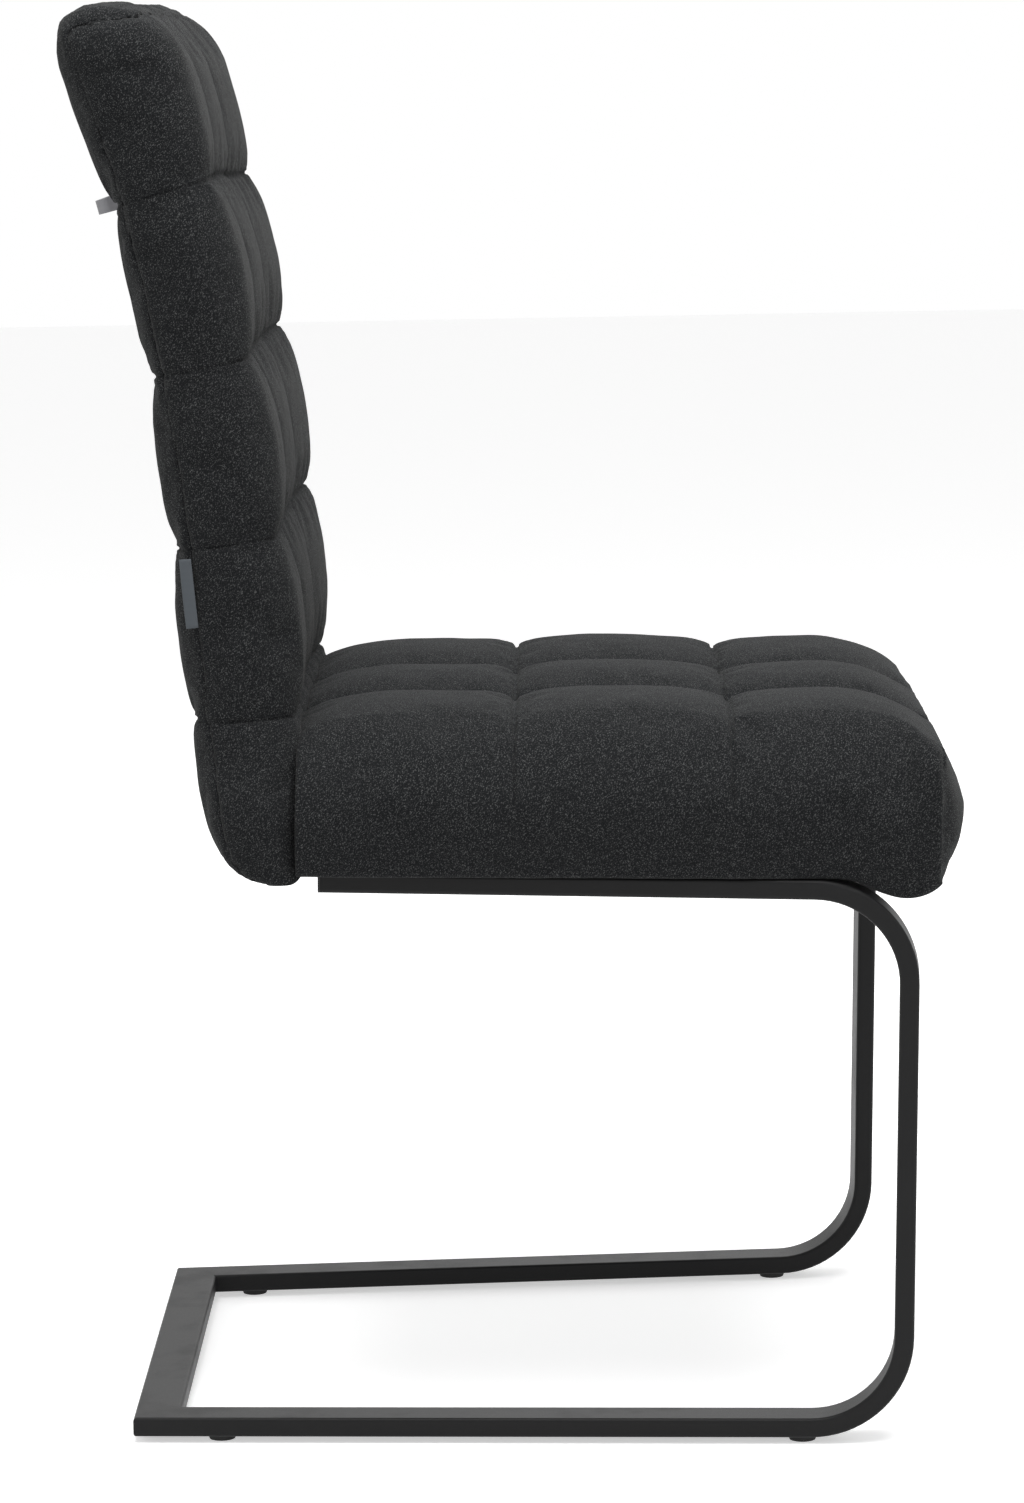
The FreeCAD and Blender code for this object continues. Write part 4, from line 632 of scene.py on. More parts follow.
def wave_noise(points, size, seed):
    """Smooth repeatable noise from -1 to 1 at points in metres."""
    generator = np.random.default_rng(seed)
    total = np.zeros(len(points))
    for strength in (0.5, 0.3, 0.2):
        direction = generator.normal(size=(3, 3))
        direction /= np.linalg.norm(direction, axis=1)[:, None]
        phase = generator.uniform(0, 2 * math.pi, 3)
        waves = np.sin(points @ direction.T * (2 * math.pi / size) + phase)
        total += strength * waves.prod(axis=1) * 1.8
        size *= 0.63
    return total


def sew(piece, seed):
    """Adds one subdivision, then the creases of the seams and the gathers beside them."""
    sizes = bpy.context.scene.chair_sizes
    smooth = piece.modifiers.new("smooth", "SUBSURF")
    smooth.levels = 1
    smooth.render_levels = 1
    bake_modifiers(piece)
    mesh = piece.data
    points = positions(mesh)
    outward = normals(mesh)
    depth = np.zeros(len(points))
    for name in ("seam_across", "seam_along", "seam_edge"):
        distance = value_of(mesh, name)
        strength = value_of(mesh, name + "_pull")
        crease = np.exp(-(distance / (0.55 * sizes.seam_width)) ** 2)
        shoulder = np.exp(-(distance / (2.6 * sizes.seam_width)) ** 2)
        gather = np.exp(-(np.maximum(distance - 0.002, 0) / 0.011) ** 1.3)
        folds = wave_noise(points, 0.019, seed) + 0.6 * wave_noise(points, 0.009, seed + 5)
        depth -= strength * sizes.seam_depth * (0.72 * crease + 0.28 * shoulder)
        depth += strength * sizes.pucker_depth * gather * folds
    depth += 0.00035 * wave_noise(points, 0.06, seed + 9)
    move_to(mesh, points + outward * depth[:, None])
    for polygon in mesh.polygons:
        polygon.use_smooth = True


# The seat cushion, in the seat's frame: y to the rear, z up from the rails

# Half widths of the quilted top, and of the side at its flank, its belly and its lower edge.
SEAT_TOP_HALF = 0.212
SEAT_FLANK_HALF = 0.2430
SEAT_BELLY_HALF = 0.2585
SEAT_FOOT_HALF = 0.2515
# How much wider the top edge gets where it tightens to the front.
SEAT_TIGHTENS = 0.0250
# Places from the rear (+) to the front (-).
SEAT_SEAMS_ALONG = (0.0045, -0.1435)
SEAT_REAR = 0.1525
SEAT_FRONT = -0.305
SEAT_EDGE = -0.2865
NOSE_START = -0.215
# Heights of the crown and of the foremost point, and the height for which the side's curves are drawn.
SEAT_CROWN = 0.1140
NOSE_HEIGHT = 0.042
SEAT_FULL = 0.118
# The front corners' radius in plan, and how far behind the front edge they begin.
SEAT_CORNER = 0.012
SEAT_CORNER_START = 0.0085
SEAT_SIDE_POINTS = 25
# The front panel: half its width, and how far it swells.
FRONT_HALF = 0.2475
FRONT_BULGE = 0.0190
# In front of the rails the underside drops to a lip, which ends this far in front of the middle.
LIP = 0.013
LIP_FRONT = 0.262
# A nose's or lip's quarter round stops just short of its upright end.
ROUND_END = 0.9985


def seat_profile(y):
    """Crown height, underside height and side inset of the seat at a place from rear to front."""
    rearward = np.clip(y / 0.06, 0, 1)
    far_rear = np.clip((y - 0.080) / 0.075, 0, 1)
    crown = SEAT_CROWN - 0.004 * rearward ** 2 * (3 - 2 * rearward) - 0.009 * far_rear ** 2
    under = np.zeros_like(y)
    ahead = y < NOSE_START
    reach = np.clip((NOSE_START - y[ahead]) / (NOSE_START - SEAT_FRONT), 0, ROUND_END)
    crown[ahead] = NOSE_HEIGHT + (SEAT_CROWN - NOSE_HEIGHT) * (1 - reach ** 2) ** 0.5
    lip = np.clip((NOSE_START - y[ahead]) / (LIP_FRONT + NOSE_START), 0, 1)
    past = np.clip((-y[ahead] - LIP_FRONT) / (-SEAT_FRONT - LIP_FRONT), 0, ROUND_END)
    under[ahead] = np.where(
        past > 0, NOSE_HEIGHT - (NOSE_HEIGHT + LIP) * np.sqrt(1 - past ** 2),
        -LIP * (1 - np.cos(math.pi * lip)) / 2)
    into = np.clip(SEAT_CORNER_START - (y - SEAT_EDGE), 0, SEAT_CORNER_START)
    inset = SEAT_CORNER - np.sqrt(SEAT_CORNER ** 2 - into ** 2)
    return crown, under, inset


def seat_side(crown, under, inset, tight):
    """The left side of the seat, from its lower edge over the top edge, which tightens to the front."""
    base = max(under, 0)
    share = (crown - base) / SEAT_FULL
    foot = np.array([SEAT_FOOT_HALF - inset, under])
    belly = np.array([SEAT_BELLY_HALF - inset, base + 0.30 * (crown - base)])
    flank = np.array([
        SEAT_FLANK_HALF + 0.0100 * tight - inset, crown - (0.036 - 0.022 * tight) * share])
    shoulder = np.array([
        SEAT_TOP_HALF + SEAT_TIGHTENS * tight - inset, crown - (0.0105 - 0.0135 * tight) * share])
    lower = bezier(foot, foot + (0.004 * share, 0.010 * share), belly - (0, 0.012 * share), belly, 24)
    middle = bezier(belly, belly + (0, 0.018 * share), flank + (0.007 * share, -0.010 * share), flank, 24)
    top = bezier(
        flank, flank + (-0.007 * share, 0.012 * share),
        shoulder + (0.012 * share, -0.0025 * share), shoulder, 24)
    return even(np.concatenate([lower, middle[1:], top[1:]]), SEAT_SIDE_POINTS)


def seat_ring(y, crown, under, inset, rise_y, row_distance, across, counts):
    """One ring of the seat: up the left side, over the top, down the right side and back underneath."""
    share = (crown - max(under, 0)) / SEAT_FULL
    rise_x, near_x = cells(across, [0.2425, COLUMN_SEAM, -COLUMN_SEAM, -0.2425])
    fade = min(1.0, max(0.0, (y - SEAT_EDGE) / 0.040)) ** 0.7
    tight = soft((-0.252 - y) / 0.030)
    seam_level = crown - 0.0245 * share * fade
    swell = share * fade * (0.0190 * rise_x + 0.0100 * rise_y - 0.0045 * rise_x * rise_y)
    reach = SEAT_TOP_HALF + SEAT_TIGHTENS * tight - inset
    outer = (np.abs(across) - COLUMN_SEAM) * (reach - COLUMN_SEAM) / (SEAT_TOP_HALF - COLUMN_SEAM)
    across_here = np.where(
        np.abs(across) <= COLUMN_SEAM, across, np.sign(across) * (COLUMN_SEAM + outer))
    top = np.stack([across_here, np.full(len(across), y), seam_level + swell], axis=1)
    # Ends of the top meet the rounded edge at the same height.
    side = seat_side(crown - 0.0015 * (1 - rise_y), under, inset, tight)
    side[:, 1] += (top[0, 2] - side[-1, 1]) * np.linspace(0, 1, SEAT_SIDE_POINTS) ** 3
    left = np.stack([side[:, 0], np.full(SEAT_SIDE_POINTS, y), side[:, 1]], axis=1)
    right = left[::-1] * (-1, 1, 1)
    bottom = np.stack([
        np.linspace(right[-1, 0], left[0, 0], len(across)),
        np.full(len(across), y), np.full(len(across), under)], axis=1)
    # The cross seams run out on the sides, from strong at the top edge to slight half way down.
    side_pull = 0.10 + 0.75 * np.clip((np.linspace(0, 1, SEAT_SIDE_POINTS) - 0.45) / 0.45, 0, 1) ** 1.5
    pull = round_ring(counts, side_pull[:-1], 1, side_pull[::-1][:-1], 0)
    on_top = round_ring(counts, 0, 1, 0, 0)
    # The sides are sewn to the front panel down both front corners.
    on_side = round_ring(counts, 1, 0, 1, 0)
    return with_values(
        np.concatenate([left[:-1], top[:-1], right[:-1], bottom[:-1]]),
        round_ring(counts, 1, near_x[:-1], 1, 1), on_top * fade,
        row_distance, pull * (0.35 + 0.65 * fade),
        y - SEAT_EDGE, 0.8 * on_side, on_top)


def front_panel(grid):
    """Swells the seat's front panel out of its last ring."""
    x, height = grid[..., 0], grid[..., 2]
    low = height.min()
    down = 1 - (height - low) / (height.max() - low)
    edge = np.clip(1 - (np.abs(x) / FRONT_HALF) ** 7, 0, 1) ** 0.55
    out = np.sin(math.pi * np.clip(down, 0, 1) ** 1.35) ** 0.95 * edge
    grid[..., 1] -= FRONT_BULGE * out
    inner = (slice(1, -1), slice(1, -1))
    grid[..., EDGE][inner] = np.maximum(FRONT_HALF - np.abs(x), 0.0015)[inner]
    grid[..., EDGE_PULL][inner] = 0.8
    grid[..., ACROSS_PULL][inner] = 0
    grid[..., ALONG_PULL][inner] = 0
    return grid


def build_seat():
    """The quilted seat: rings from rear to front, top cells, belly sides and a rounded nose."""
    across = seamed_steps([SEAT_TOP_HALF, COLUMN_SEAM, -COLUMN_SEAM, -SEAT_TOP_HALF])
    y_flat = seamed_steps([SEAT_REAR, *SEAT_SEAMS_ALONG, NOSE_START - 0.004])
    y_nose = np.concatenate([np.linspace(-0.2235, -0.2775, 12), [-0.2805, -0.2830, -0.2850, SEAT_EDGE]])
    y_all = np.concatenate([y_flat, y_nose])
    rows = cells(y_all, [SEAT_REAR + 0.004, *SEAT_SEAMS_ALONG, SEAT_FRONT - 0.035])
    counts = (SEAT_SIDE_POINTS - 1, len(across) - 1) * 2
    rings = [seat_ring(*place, across, counts) for place in zip(y_all, *seat_profile(y_all), *rows)]
    piece, points = stitched_mesh("seat_cushion", Shell(np.array(rings), counts, front_panel))
    held = np.zeros(len(points))
    held[(points[:, ACROSS] < ON_SEAM) & (points[:, FACE] > 0.5)] = 1
    held[(points[:, ALONG] < ON_SEAM) & (points[:, ALONG_PULL] > 0.15)] = 1
    held[(points[:, 2] < 0.004) | (points[:, 1] > SEAT_REAR - 0.0005)] = 1
    swell_cloth(piece, held)
    sew(piece, 11)
    # The seat stays in front of the back and above the rails.
    moved = positions(piece.data)
    moved[:, 1] = np.minimum(moved[:, 1], SEAT_REAR)
    flat = (moved[:, 1] > -0.205) & (moved[:, 2] < 0.0)
    moved[flat, 2] = 0.0
    move_to(piece.data, moved)
    piece.data.transform(SEAT_PLACE)
    return piece


# The back, in its own frame: x across, depth behind its middle surface, rise along it

BACK_ROWS = (0.0, 0.120, 0.240, 0.360)
BACK_TOP = 0.491
# Height of the top's rounding, and how far up it the rings go.
TOP_ROUND = 0.040
TOP_RINGS = 0.0395
# The top rises towards the rear, by this share of the depth.
TOP_SLANT = 0.30
TOP_SEAM_DROP = 0.0065
BACK_FOOT = -0.105
FOOT_ROUND = 0.055
# Half widths of the whole back and of the flat part of its faces, and the curve's radius in side view.
BACK_HALF = 0.235
BACK_FACE_HALF = 0.208
BACK_RADIUS = 1.640
BACK_SIDE_POINTS = 23
REAR_SEAM = 0.026
# The sewn edge runs up the sides behind the middle, then forward under the top: depths at heights.
EDGE_SEAM = ((-0.2, 0.471, 0.4785, 0.4835, 0.6), (REAR_SEAM, REAR_SEAM, 0.018, -0.0275, -0.0275))
# Heights along the back, and depths there from its middle surface.
FRONT_SEAM = ((0.0, 0.12, 0.24, 0.36, 0.46), (0.0345, 0.0335, 0.0330, 0.0355, 0.0375))
FRONT_CROWN = ((0.06, 0.18, 0.30, 0.43), (0.0055, 0.0060, 0.0065, 0.0045))
REAR_DEPTH = (
    (-0.105, -0.1035, -0.100, -0.093, -0.085, -0.07, -0.05, -0.03, 0.0, 0.12, 0.24, 0.36, 0.46),
    (-0.006, 0.003, 0.012, 0.0195, 0.0232, 0.0270, 0.0290, 0.0302, 0.0340, 0.0352, 0.0320, 0.0300, 0.0310),
)
REAR_CROWN = ((-0.05, 0.06, 0.18, 0.30, 0.43), (0.0010, 0.0040, 0.0036, 0.0020, 0.0052))
# Depths below the first lateral seam, and the share of the foot's extra width there.
FOOT_WIDTH = 0.021
FOOT_SPREAD = ((0, 0.025, 0.05, 0.07, 0.09, 0.105), (0, 0.35, 0.75, 1.0, 0.95, 0.8))
# Shares of the way round a side, and how hard a lateral seam pulls there.
SIDE_PULL = ((0, 0.3, 0.6, 0.85, 1), (0.9, 0.62, 0.45, 0.35, 0.7))


def back_points(x, depth, rise):
    """Points of the back's own frame: straight below the first lateral seam and curved above it."""
    lift = np.clip((rise - 0.375) / 0.095, 0, 1)
    rise = rise + TOP_SLANT * depth * lift * lift * (3 - 2 * lift)
    turn = np.clip(rise, 0, None) / BACK_RADIUS
    reach = BACK_RADIUS - depth
    y = np.where(rise > 0, BACK_RADIUS - reach * np.cos(turn), depth)
    z = np.where(rise > 0, reach * np.sin(turn), rise)
    return np.stack(np.broadcast_arrays(x, y, z), axis=-1)


def off_line(across, height, corners):
    """Distance of points at one height from a bent line."""
    nearest = np.full(len(across), 1.0)
    for start, end in zip(corners[:-1], corners[1:]):
        run = end - start
        length = np.hypot(*run)
        offset = np.stack([across - start[0], np.full(len(across), height - start[1])], axis=1)
        share = np.clip(offset @ run / length ** 2, 0, 1)
        nearest = np.minimum(nearest, np.hypot(*(offset - share[:, None] * run).T))
    return nearest


def back_side(half, x_end, front_edge, rear_edge, rise_y):
    """The back's left side in plan, from the front face round to the rear face."""
    scale = half / BACK_HALF
    thick = rear_edge - front_edge
    front_round = min(0.034 * scale, 0.50 * thick)
    rear_round = min(0.027 * scale, 0.46 * thick)
    lead = 0.3 * (thick - front_round - rear_round)
    bow = 0.0022 * thick / 0.08 + 0.0022 * (rise_y - 0.5) * min(1, thick / 0.07)
    reach = half - x_end
    kappa = 0.55
    wall_start = (half + bow * 0.8, front_edge + front_round)
    wall_end = (half + bow * 0.5, rear_edge - rear_round * 0.62)
    near = bezier(
        (x_end, front_edge), (x_end + kappa * reach, front_edge),
        (half + bow * 0.6, front_edge + (1 - kappa) * front_round), wall_start, 20)
    wall = bezier(
        wall_start, (half + bow * 1.2, front_edge + front_round + lead),
        (half + bow * 1.2, rear_edge - rear_round - lead), wall_end, 20)
    far = bezier(
        wall_end, (half + bow * 0.2 - 0.0005, rear_edge - rear_round * 0.28),
        (x_end + 0.62 * reach, rear_edge - 0.0003), (x_end, rear_edge), 20)
    return even(np.concatenate([near, wall[1:], far[1:]]), BACK_SIDE_POINTS)


def sewn_edge(depth, rise, rear_edge, face):
    """Distance of ring points to the sewn edge, and how far behind it they lie."""
    seam_depth = np.interp(rise, *EDGE_SEAM)
    if rise < 0:
        seam_depth = min(seam_depth, rear_edge - 0.010)
    distance = np.abs(depth - seam_depth)
    if rise > 0.40:
        distance = off_line(depth, rise, np.array(EDGE_SEAM).T[:, ::-1])
    on_edge = (face == 1) | (face == 3) | (rise > BACK_TOP - 0.012)
    # The tufts on the rear face lie deeper than the seam, and still belong to the rear cushion.
    return np.where(on_edge, distance, 1.0), np.where(face == 2, 1.0, depth - seam_depth)


def back_ring(rise, rise_y, row_distance, across, counts):
    """One ring of the back: its front face, left side, rear face and right side."""
    # The outer columns crest near the back's edges.
    rise_x, near_x = cells(across, [-0.290, -COLUMN_SEAM, COLUMN_SEAM, 0.290])
    top_share = 1.0
    inset = 0.0
    if rise > BACK_TOP - TOP_ROUND:
        angle = math.asin(min(0.999, (rise - BACK_TOP + TOP_ROUND) / TOP_ROUND))
        top_share = math.cos(angle) ** 0.55
        inset = 0.022 * (1 - math.cos(angle))
    half = BACK_HALF + FOOT_WIDTH * np.interp(-rise, *FOOT_SPREAD) - inset
    # Depth of the channels' crowns at a lateral seam, and how far they stand out between seams.
    front_level = np.interp(rise, *FRONT_SEAM) + np.interp(rise, *FRONT_CROWN) * rise_y
    rear_level = np.interp(rise, *REAR_DEPTH) + np.interp(rise, *REAR_CROWN) * rise_y
    tuft = (0.0060 + 0.0022 * (1 - rise_y)) * (1 - rise_x)
    flat_foot = soft((rise + 0.075) / 0.06)
    # The middle column lies a little deeper, so that the back hugs the sitter.
    hollow = 0.0030 * np.clip(1 - (across / 0.185) ** 2, 0, 1)
    front = (front_level - (tuft + hollow) * flat_foot) * top_share
    rear = (rear_level - 0.75 * tuft * flat_foot) * top_share
    x_face = across * (half / BACK_HALF)
    side = back_side(half, x_face[-1], -front[-1], rear[-1], rise_y)
    on_front = np.stack([x_face, -front], axis=1)
    on_rear = np.stack([x_face[::-1], rear[::-1]], axis=1)
    flat = np.concatenate([on_front[:-1], side[:-1], on_rear[:-1], (side[::-1] * (-1, 1))[:-1]])
    x, depth = flat.T
    # Outside the rails the foot's lower edge hangs a little.
    outside = np.clip((np.abs(x) - 0.238) / 0.012, 0, 1)
    hang = 0.0065 * outside * soft((-0.070 - rise) / 0.035)
    # The topmost lateral seam is sewn a little lower at the sitter's left.
    leftward = np.clip((x + 0.05) / 0.25, 0, 1)
    askew = TOP_SEAM_DROP * leftward ** 2 * (3 - 2 * leftward) * math.exp(-((rise - 0.36) / 0.07) ** 2)
    face = round_ring(counts, 0, 1, 2, 3)
    fade = min(1.0, top_share * 1.2) * np.clip(1 + (rise + 0.03) / 0.04, 0, 1)
    side_pull = np.interp(np.linspace(0, 1, BACK_SIDE_POINTS), *SIDE_PULL)
    row_pull = round_ring(counts, 1, side_pull[:-1], 0.85, side_pull[::-1][:-1])
    to_edge, behind = sewn_edge(depth, rise, rear[-1], face)
    return with_values(
        back_points(x, depth, rise - hang - askew),
        round_ring(counts, near_x[:-1], 1, near_x[::-1][:-1], 1), round_ring(counts, 1, 0, 0.85, 0) * fade,
        row_distance, row_pull * fade, to_edge, 0.9, face, behind)


def build_back():
    """The quilted back as one closed form in its own frame."""
    across = seamed_steps([-BACK_FACE_HALF, -COLUMN_SEAM, COLUMN_SEAM, BACK_FACE_HALF])
    body = seamed_steps([BACK_FOOT + FOOT_ROUND, *BACK_ROWS, BACK_TOP - TOP_ROUND])
    turn = np.linspace(0, 1, 11)
    foot = BACK_FOOT + FOOT_ROUND * (1 - np.cos(turn * math.pi / 2))
    top = BACK_TOP - TOP_ROUND + TOP_RINGS * np.sin(turn[1:] * math.pi / 2)
    rises = np.concatenate([foot[:-1], body, top])
    rows = cells(rises, [BACK_FOOT - 0.02, *BACK_ROWS, BACK_TOP + 0.02])
    counts = (len(across) - 1, BACK_SIDE_POINTS - 1) * 2
    rings = [back_ring(*place, across, counts) for place in zip(rises, *rows)]
    piece, points = stitched_mesh("back_form", Shell(np.array(rings), counts))
    keep_values(piece.data, behind_seam=points[:, BEHIND])
    held = np.zeros(len(points))
    on_face = np.isclose(points[:, FACE], 0) | np.isclose(points[:, FACE], 2)
    on_row = points[:, ALONG] < ON_SEAM
    held[(points[:, ACROSS] < ON_SEAM) & on_face] = 1
    held[on_row] = np.where(points[on_row, ALONG_PULL] > 0.75, 1, LOOSELY)
    held[points[:, EDGE] < 0.0022] = LOOSELY
    held[points[:, 2] < BACK_FOOT + 0.03] = 1
    swell_cloth(piece, held)
    sew(piece, 23)
    return piece


def cut_at_seam(form, name, behind):
    """The half of the back in front of the sewn edge, or behind it, closed along the cut."""
    mesh = form.data.copy()
    values = value_of(mesh, "behind_seam")
    work = bmesh.new()
    work.from_mesh(mesh)
    work.verts.ensure_lookup_table()
    gone = [
        face for face in work.faces
        if (np.mean([values[vert.index] for vert in face.verts]) > 0) != behind
    ]
    bmesh.ops.delete(work, geom=gone, context="FACES")
    rim = [edge for edge in work.edges if edge.is_boundary]
    bmesh.ops.holes_fill(work, edges=rim, sides=0)
    big = [face for face in work.faces if len(face.verts) > 4]
    bmesh.ops.triangulate(work, faces=big)
    bmesh.ops.recalc_face_normals(work, faces=work.faces)
    work.to_mesh(mesh)
    work.free()
    return smooth_object(name, mesh)


# The dust cover and the tab

LINING_GRID = (61, 57)
LINING_THICK = 0.0005
TAB_GRID = (7, 25)
TAB_WIDTH, TAB_LENGTH, TAB_THICK = 0.0085, 0.047, 0.0008
# The tab's lean from the back's upright, in radians, and how far it is bent outwards.
TAB_LEAN = 0.055
TAB_BEND = 0.14


def two_layers(columns, rows):
    """Faces of two grids of points, the first one below the second, and of the rim between them."""
    count = columns * rows
    faces = []
    for i in range(columns - 1):
        for j in range(rows - 1):
            cell = (i * rows + j, (i + 1) * rows + j, (i + 1) * rows + j + 1, i * rows + j + 1)
            faces.append(cell[::-1])
            faces.append(tuple(corner + count for corner in cell))
    rim = [i * rows for i in range(columns)]
    rim += [(columns - 1) * rows + j for j in range(1, rows)]
    rim += [i * rows + rows - 1 for i in range(columns - 2, -1, -1)]
    rim += list(range(rows - 2, 0, -1))
    faces += [(a, b, b + count, a + count) for a, b in zip(rim, rim[1:] + rim[:1])]
    return faces


def build_dust_cover():
    """The lining under the seat, which sags a little between its stapled edges, and its flat size."""
    low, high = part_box("seat_dust_cover")
    half, start, end = (high.x - low.x) / 2, low.y, high.y
    grid_x, grid_y = np.meshgrid(
        np.linspace(-half, half, LINING_GRID[0]), np.linspace(start, end, LINING_GRID[1]), indexing="ij")
    flat = np.stack([grid_x.ravel(), grid_y.ravel(), np.zeros(grid_x.size)], axis=1)
    edge = np.minimum(half - np.abs(flat[:, 0]), np.minimum(flat[:, 1] - start, end - flat[:, 1]))
    sag = np.clip(edge / 0.06, 0, 1) ** 0.7
    wrinkle = wave_noise(flat, 0.11, 3) * 0.0004 + wave_noise(flat, 0.04, 4) * 0.0002
    height = -0.0002 - sag * 0.0008 + wrinkle * sag
    lower = np.stack([flat[:, 0], flat[:, 1], height], axis=1)
    upper = lower + (0, 0, LINING_THICK)
    faces = two_layers(*LINING_GRID)
    lining = mesh_object("dust_cover", np.concatenate([lower, upper]), faces, SEAT_PLACE)
    return lining, (2 * half, end - start)


def build_tab():
    """The bare woven tab, slightly curled, at its place in the side seam."""
    low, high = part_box("label_tab")
    centre = (low + high) / 2
    upright = BACK_PLACE.to_3x3() @ Vector((0, math.sin(TAB_LEAN), math.cos(TAB_LEAN)))
    rearward = Vector((-1, 0, 0)).cross(upright).normalized()
    rearward = (rearward + Vector((TAB_BEND, 0, 0))).normalized()
    outward = upright.cross(rearward).normalized()
    columns, rows = TAB_GRID
    points = []
    for layer in (-0.5, 0.5):
        for i in range(columns):
            for j in range(rows):
                u, v = i / (columns - 1) - 0.5, j / (rows - 1) - 0.5
                curl = 0.0006 * math.sin((v + 0.5) * math.pi * 1.5) * (u + 0.5)
                edge_thin = 0.35 if i in (0, columns - 1) else 1.0
                spot = centre + rearward * (u * TAB_WIDTH) + upright * (v * TAB_LENGTH)
                points.append(spot + outward * (curl + layer * TAB_THICK * edge_thin))
    return mesh_object("side_tab", points, [face[::-1] for face in two_layers(columns, rows)])


# The floor, the light and the camera

FLOOR_HALF = 14
FLOOR_GLOW = 0.52
WORLD_LIGHT = 0.44
WHITE = (1, 1, 1, 1)
# Name, place, aim, diameter in metres and power in watts of each round softbox.
LAMPS = (
    ("top_softbox", (-0.6, -0.2, 3.2), (0, 0, 0.4), 2.6, 110),
    ("near_softbox", (-3.2, -1.6, 2.4), (0, 0, 0.5), 2.2, 8),
    ("front_softbox", (-0.9, -3.4, 1.6), (0, -0.1, 0.5), 1.8, 6),
    ("rear_softbox", (-0.6, 3.2, 1.8), (0, 0.1, 0.6), 1.8, 12),
    ("far_softbox", (3.0, -0.4, 2.2), (0, 0, 0.5), 2.2, 16),
)
# The camera looks along +X at the chair's right side. Its focal length and picture height are in pixels.
CAMERA_AT = (-3.7024, -0.0215, 0.9634)
CAMERA_TURN, CAMERA_PITCH, CAMERA_ROLL = 0.0074, 0.138, -0.0185
FOCAL_LENGTH = 5164.4
PICTURE_HEIGHT = 1503


def build_floor():
    """A pale floor that keeps the chair's shadow and looks white far away."""
    colour = tuple(bpy.context.scene.chair_colours.floor)
    pale = Finish("pale_floor")
    tone = pale.mix(pale.noise(0.8) * 0.2, colour, shaded(colour, 0.97))
    pale.surface(Base_Color=tone, Roughness=0.75, Specular_IOR_Level=0.2)
    # The camera and reflections see it glow a little, but it sheds no more light than its colour.
    plain = Value(pale.tree, pale.shader.outputs[0])
    glow = pale.node("ShaderNodeEmission", Strength=FLOOR_GLOW)
    glowing = pale.node("ShaderNodeAddShader", _0=plain, _1=glow)
    choice = pale.node("ShaderNodeMixShader", _0=pale.seen_directly(), _1=plain, _2=glowing)
    pale.show(choice, "Material Output")
    half = FLOOR_HALF
    corners = [(-half, -half, 0), (half, -half, 0), (half, half, 0), (-half, half, 0)]
    floor = mesh_object("floor", corners, [(0, 1, 2, 3)])
    floor.data.materials.append(pale.material)


def studio_world():
    """A world that looks white and sheds soft light."""
    world = bpy.data.worlds.new("studio")
    world.use_nodes = True
    nodes = Nodes(world.node_tree)
    nodes.tree.nodes.remove(nodes.tree.nodes["Background"])
    light = nodes.node("ShaderNodeBackground", Color=WHITE, Strength=WORLD_LIGHT)
    white = nodes.node("ShaderNodeBackground", Color=WHITE, Strength=1.0)
    choice = nodes.node("ShaderNodeMixShader", _0=nodes.seen_directly(), _1=light, _2=white)
    nodes.show(choice, "World Output")
    return world


def add_lamp(name, at, towards, size, power):
    """A round softbox that looks at a point."""
    light = bpy.data.lights.new(name, "AREA")
    light.shape = "DISK"
    light.size = size
    light.energy = power
    lamp = bpy.data.objects.new(name, light)
    lamp.location = at
    aim = Vector(towards) - Vector(at)
    lamp.rotation_euler = aim.to_track_quat("-Z", "Y").to_euler()
    bpy.context.scene.collection.objects.link(lamp)


def photo_camera():
    """The camera, as it stood for the photograph."""
    view = bpy.data.cameras.new("camera")
    view.sensor_fit = "VERTICAL"
    view.sensor_height = 36.0
    view.lens = FOCAL_LENGTH / PICTURE_HEIGHT * 36.0
    view.clip_end = 60
    camera = bpy.data.objects.new("camera", view)
    side = Matrix.Rotation(CAMERA_TURN, 3, "Z") @ Vector((0, -1, 0))
    ahead = Matrix.Rotation(CAMERA_TURN, 3, "Z") @ Vector((1, 0, 0))
    up = Vector((0, 0, 1))
    aim = ahead * math.cos(CAMERA_PITCH) - up * math.sin(CAMERA_PITCH)
    top = up * math.cos(CAMERA_PITCH) + ahead * math.sin(CAMERA_PITCH)
    across = side * math.cos(CAMERA_ROLL) + top * math.sin(CAMERA_ROLL)
    upright = top * math.cos(CAMERA_ROLL) - side * math.sin(CAMERA_ROLL)
    turned = Matrix((across, upright, -aim)).transposed().to_4x4()
    camera.matrix_world = Matrix.Translation(CAMERA_AT) @ turned
    bpy.context.scene.collection.objects.link(camera)
    return camera


# Operators

class ChairSeatCushion(Operator):
    """Quilted seat cushion, three columns by three rows"""
    bl_idname = "chair.seat_cushion"
    bl_label = "Seat cushion"

    def execute(self, context):
        seat = build_seat()
        dress(seat, finish("charcoal_cloth", charcoal_cloth))
        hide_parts("seat_cover", "seat_foam")
        return {"FINISHED"}


class ChairBackCushion(Operator):
    """Quilted back: front cover with its sides, and rear cover"""
    bl_idname = "chair.back_cushion"
    bl_label = "Back cushion"

    def execute(self, context):
        form = build_back()
        cloth = finish("charcoal_cloth", charcoal_cloth)
        for name, behind, nodes in (
            ("back_cushion_front", False, ("back_cover_front", "back_foam_front")),
            ("back_cushion_rear", True, ("back_cover_rear", "back_foam_rear")),
        ):
            half = cut_at_seam(form, name, behind)
            half.data.transform(BACK_PLACE)
            dress(half, cloth)
            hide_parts(*nodes)
        mesh = form.data
        bpy.data.objects.remove(form)
        bpy.data.meshes.remove(mesh)
        return {"FINISHED"}


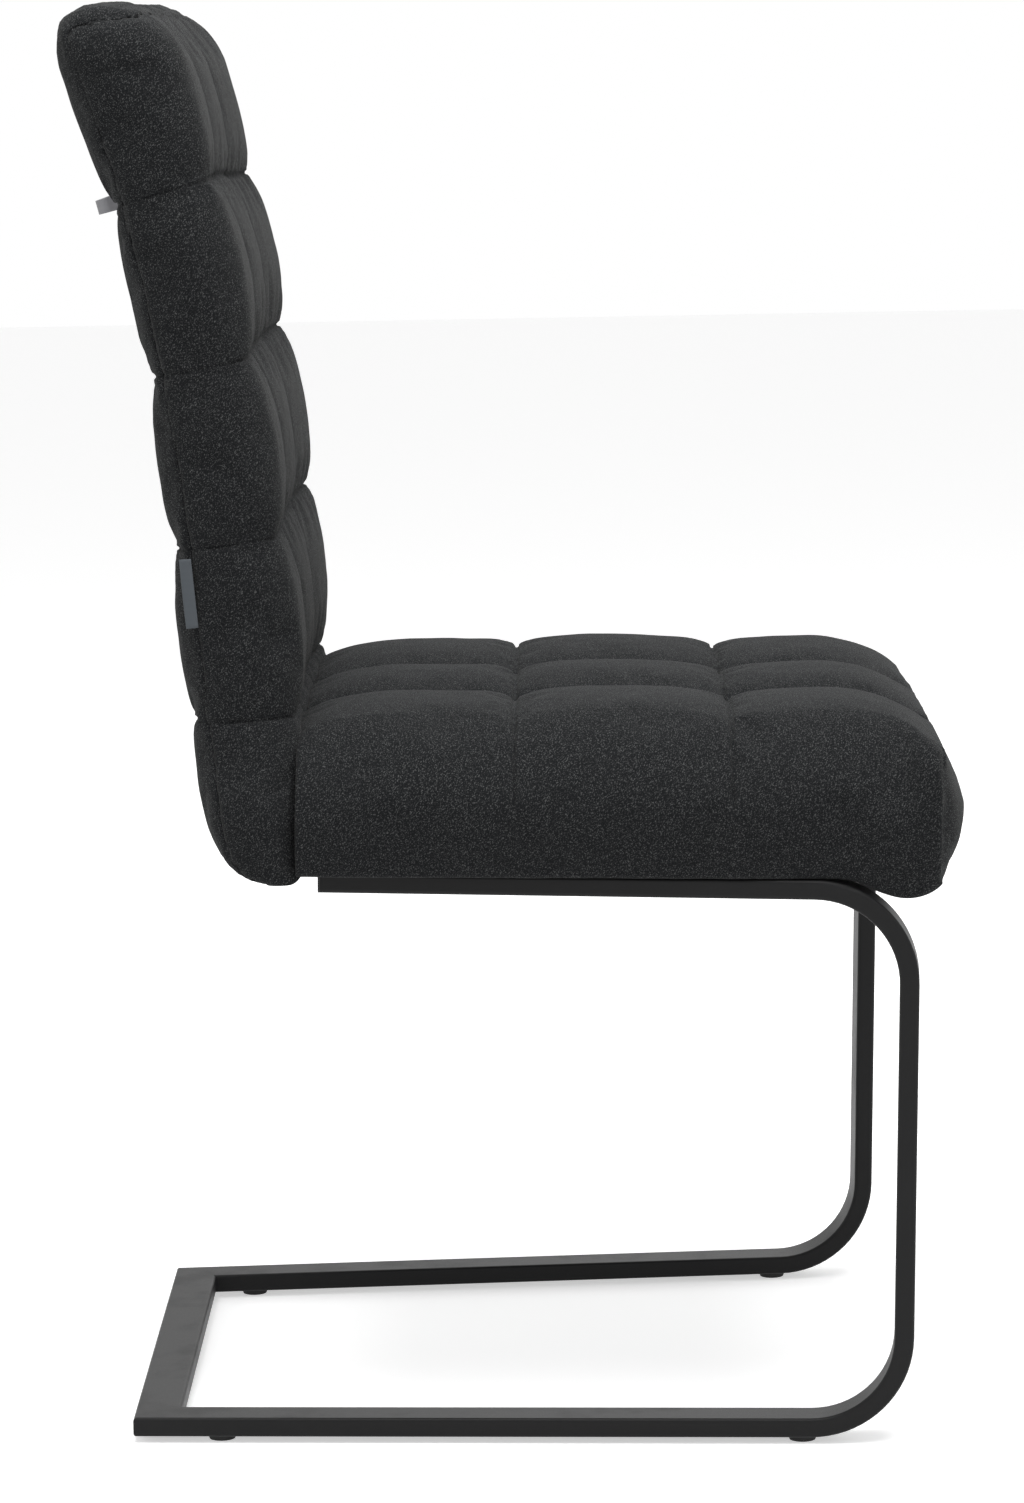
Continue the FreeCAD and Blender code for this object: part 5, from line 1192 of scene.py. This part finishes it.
class ChairFrameFinish(Operator):
    """Powder coat on the tubes, plastic on glides and plugs, zinc on the fasteners"""
    bl_idname = "chair.frame_finish"
    bl_label = "Frame and fittings"

    def execute(self, context):
        colours = context.scene.chair_colours
        steel = (
            "side_tube_left", "side_tube_right", "rear_crossbar", "front_cross_strap", "rear_cross_strap")
        dress_nodes(steel, finish("black_powder_coat", frame_coat, tuple(colours.powder_coat)))
        plastic = finish("black_plastic", moulded_plastic, (0.012, 0.012, 0.012))
        dress_nodes([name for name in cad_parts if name.startswith(("glide_", "tube_plug_"))], plastic)
        zinc = finish("zinc_plate", satin_metal, (0.50, 0.51, 0.53), 0.0005, 0.30)
        dress_nodes((
            "back_bracket_left", "back_bracket_right", "bracket_bolts", "bracket_tnuts",
            "seat_bolts", "seat_washers", "seat_tnuts", "handle_screws"), zinc)
        dress_nodes(("seat_board", "back_board"), finish("plywood", plywood))
        metal = finish("satin_handle", satin_metal, tuple(colours.handle_metal), 0.0004, 0.34)
        dress_nodes(("handle",), metal)
        return {"FINISHED"}


class ChairUnderside(Operator):
    """Dust cover under the seat, held by staples, and the sewn-in tab"""
    bl_idname = "chair.underside"
    bl_label = "Dust cover and tab"

    def execute(self, context):
        lining, flat_size = build_dust_cover()
        dress(lining, finish("black_lining", lining_cloth))
        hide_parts("seat_dust_cover")
        tab = build_tab()
        dress(tab, finish("woven_tape", woven_tape))
        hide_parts("label_tab")
        return {"FINISHED"}


class ChairStage(Operator):
    """Pale floor, soft studio light and the camera"""
    bl_idname = "chair.stage"
    bl_label = "Floor, light and camera"

    def execute(self, context):
        scene = context.scene
        build_floor()
        scene.world = studio_world()
        for lamp in LAMPS:
            add_lamp(*lamp)
        scene.camera = photo_camera()
        scene.view_settings.view_transform = "Standard"
        return {"FINISHED"}


class ChairPanel(Panel):
    """Lists the chair's pieces and their settings"""
    bl_idname = "VIEW3D_PT_quilted_chair"
    bl_label = "Quilted cantilever chair"
    bl_space_type = "VIEW_3D"
    bl_region_type = "UI"
    bl_category = "Chair"

    def draw(self, context):
        layout = self.layout
        for group in (context.scene.chair_sizes, context.scene.chair_colours):
            box = layout.box()
            for name in group.bl_rna.properties.keys():
                if name not in ("rna_type", "name"):
                    box.prop(group, name)
        for operator in OPERATORS:
            layout.operator(operator.bl_idname)


OPERATORS = (ChairFrameFinish, ChairSeatCushion, ChairBackCushion, ChairUnderside, ChairStage)
CLASSES = (ChairSizes, ChairColours, *OPERATORS, ChairPanel)


def register():
    for item in CLASSES:
        bpy.utils.register_class(item)
    bpy.types.Scene.chair_sizes = PointerProperty(type=ChairSizes)
    bpy.types.Scene.chair_colours = PointerProperty(type=ChairColours)


def unregister():
    del bpy.types.Scene.chair_colours
    del bpy.types.Scene.chair_sizes
    for item in reversed(CLASSES):
        bpy.utils.unregister_class(item)


def main():
    register()
    bpy.ops.chair.frame_finish()
    bpy.ops.chair.seat_cushion()
    bpy.ops.chair.back_cushion()
    bpy.ops.chair.underside()
    bpy.ops.chair.stage()


if __name__ == "__main__":
    main()
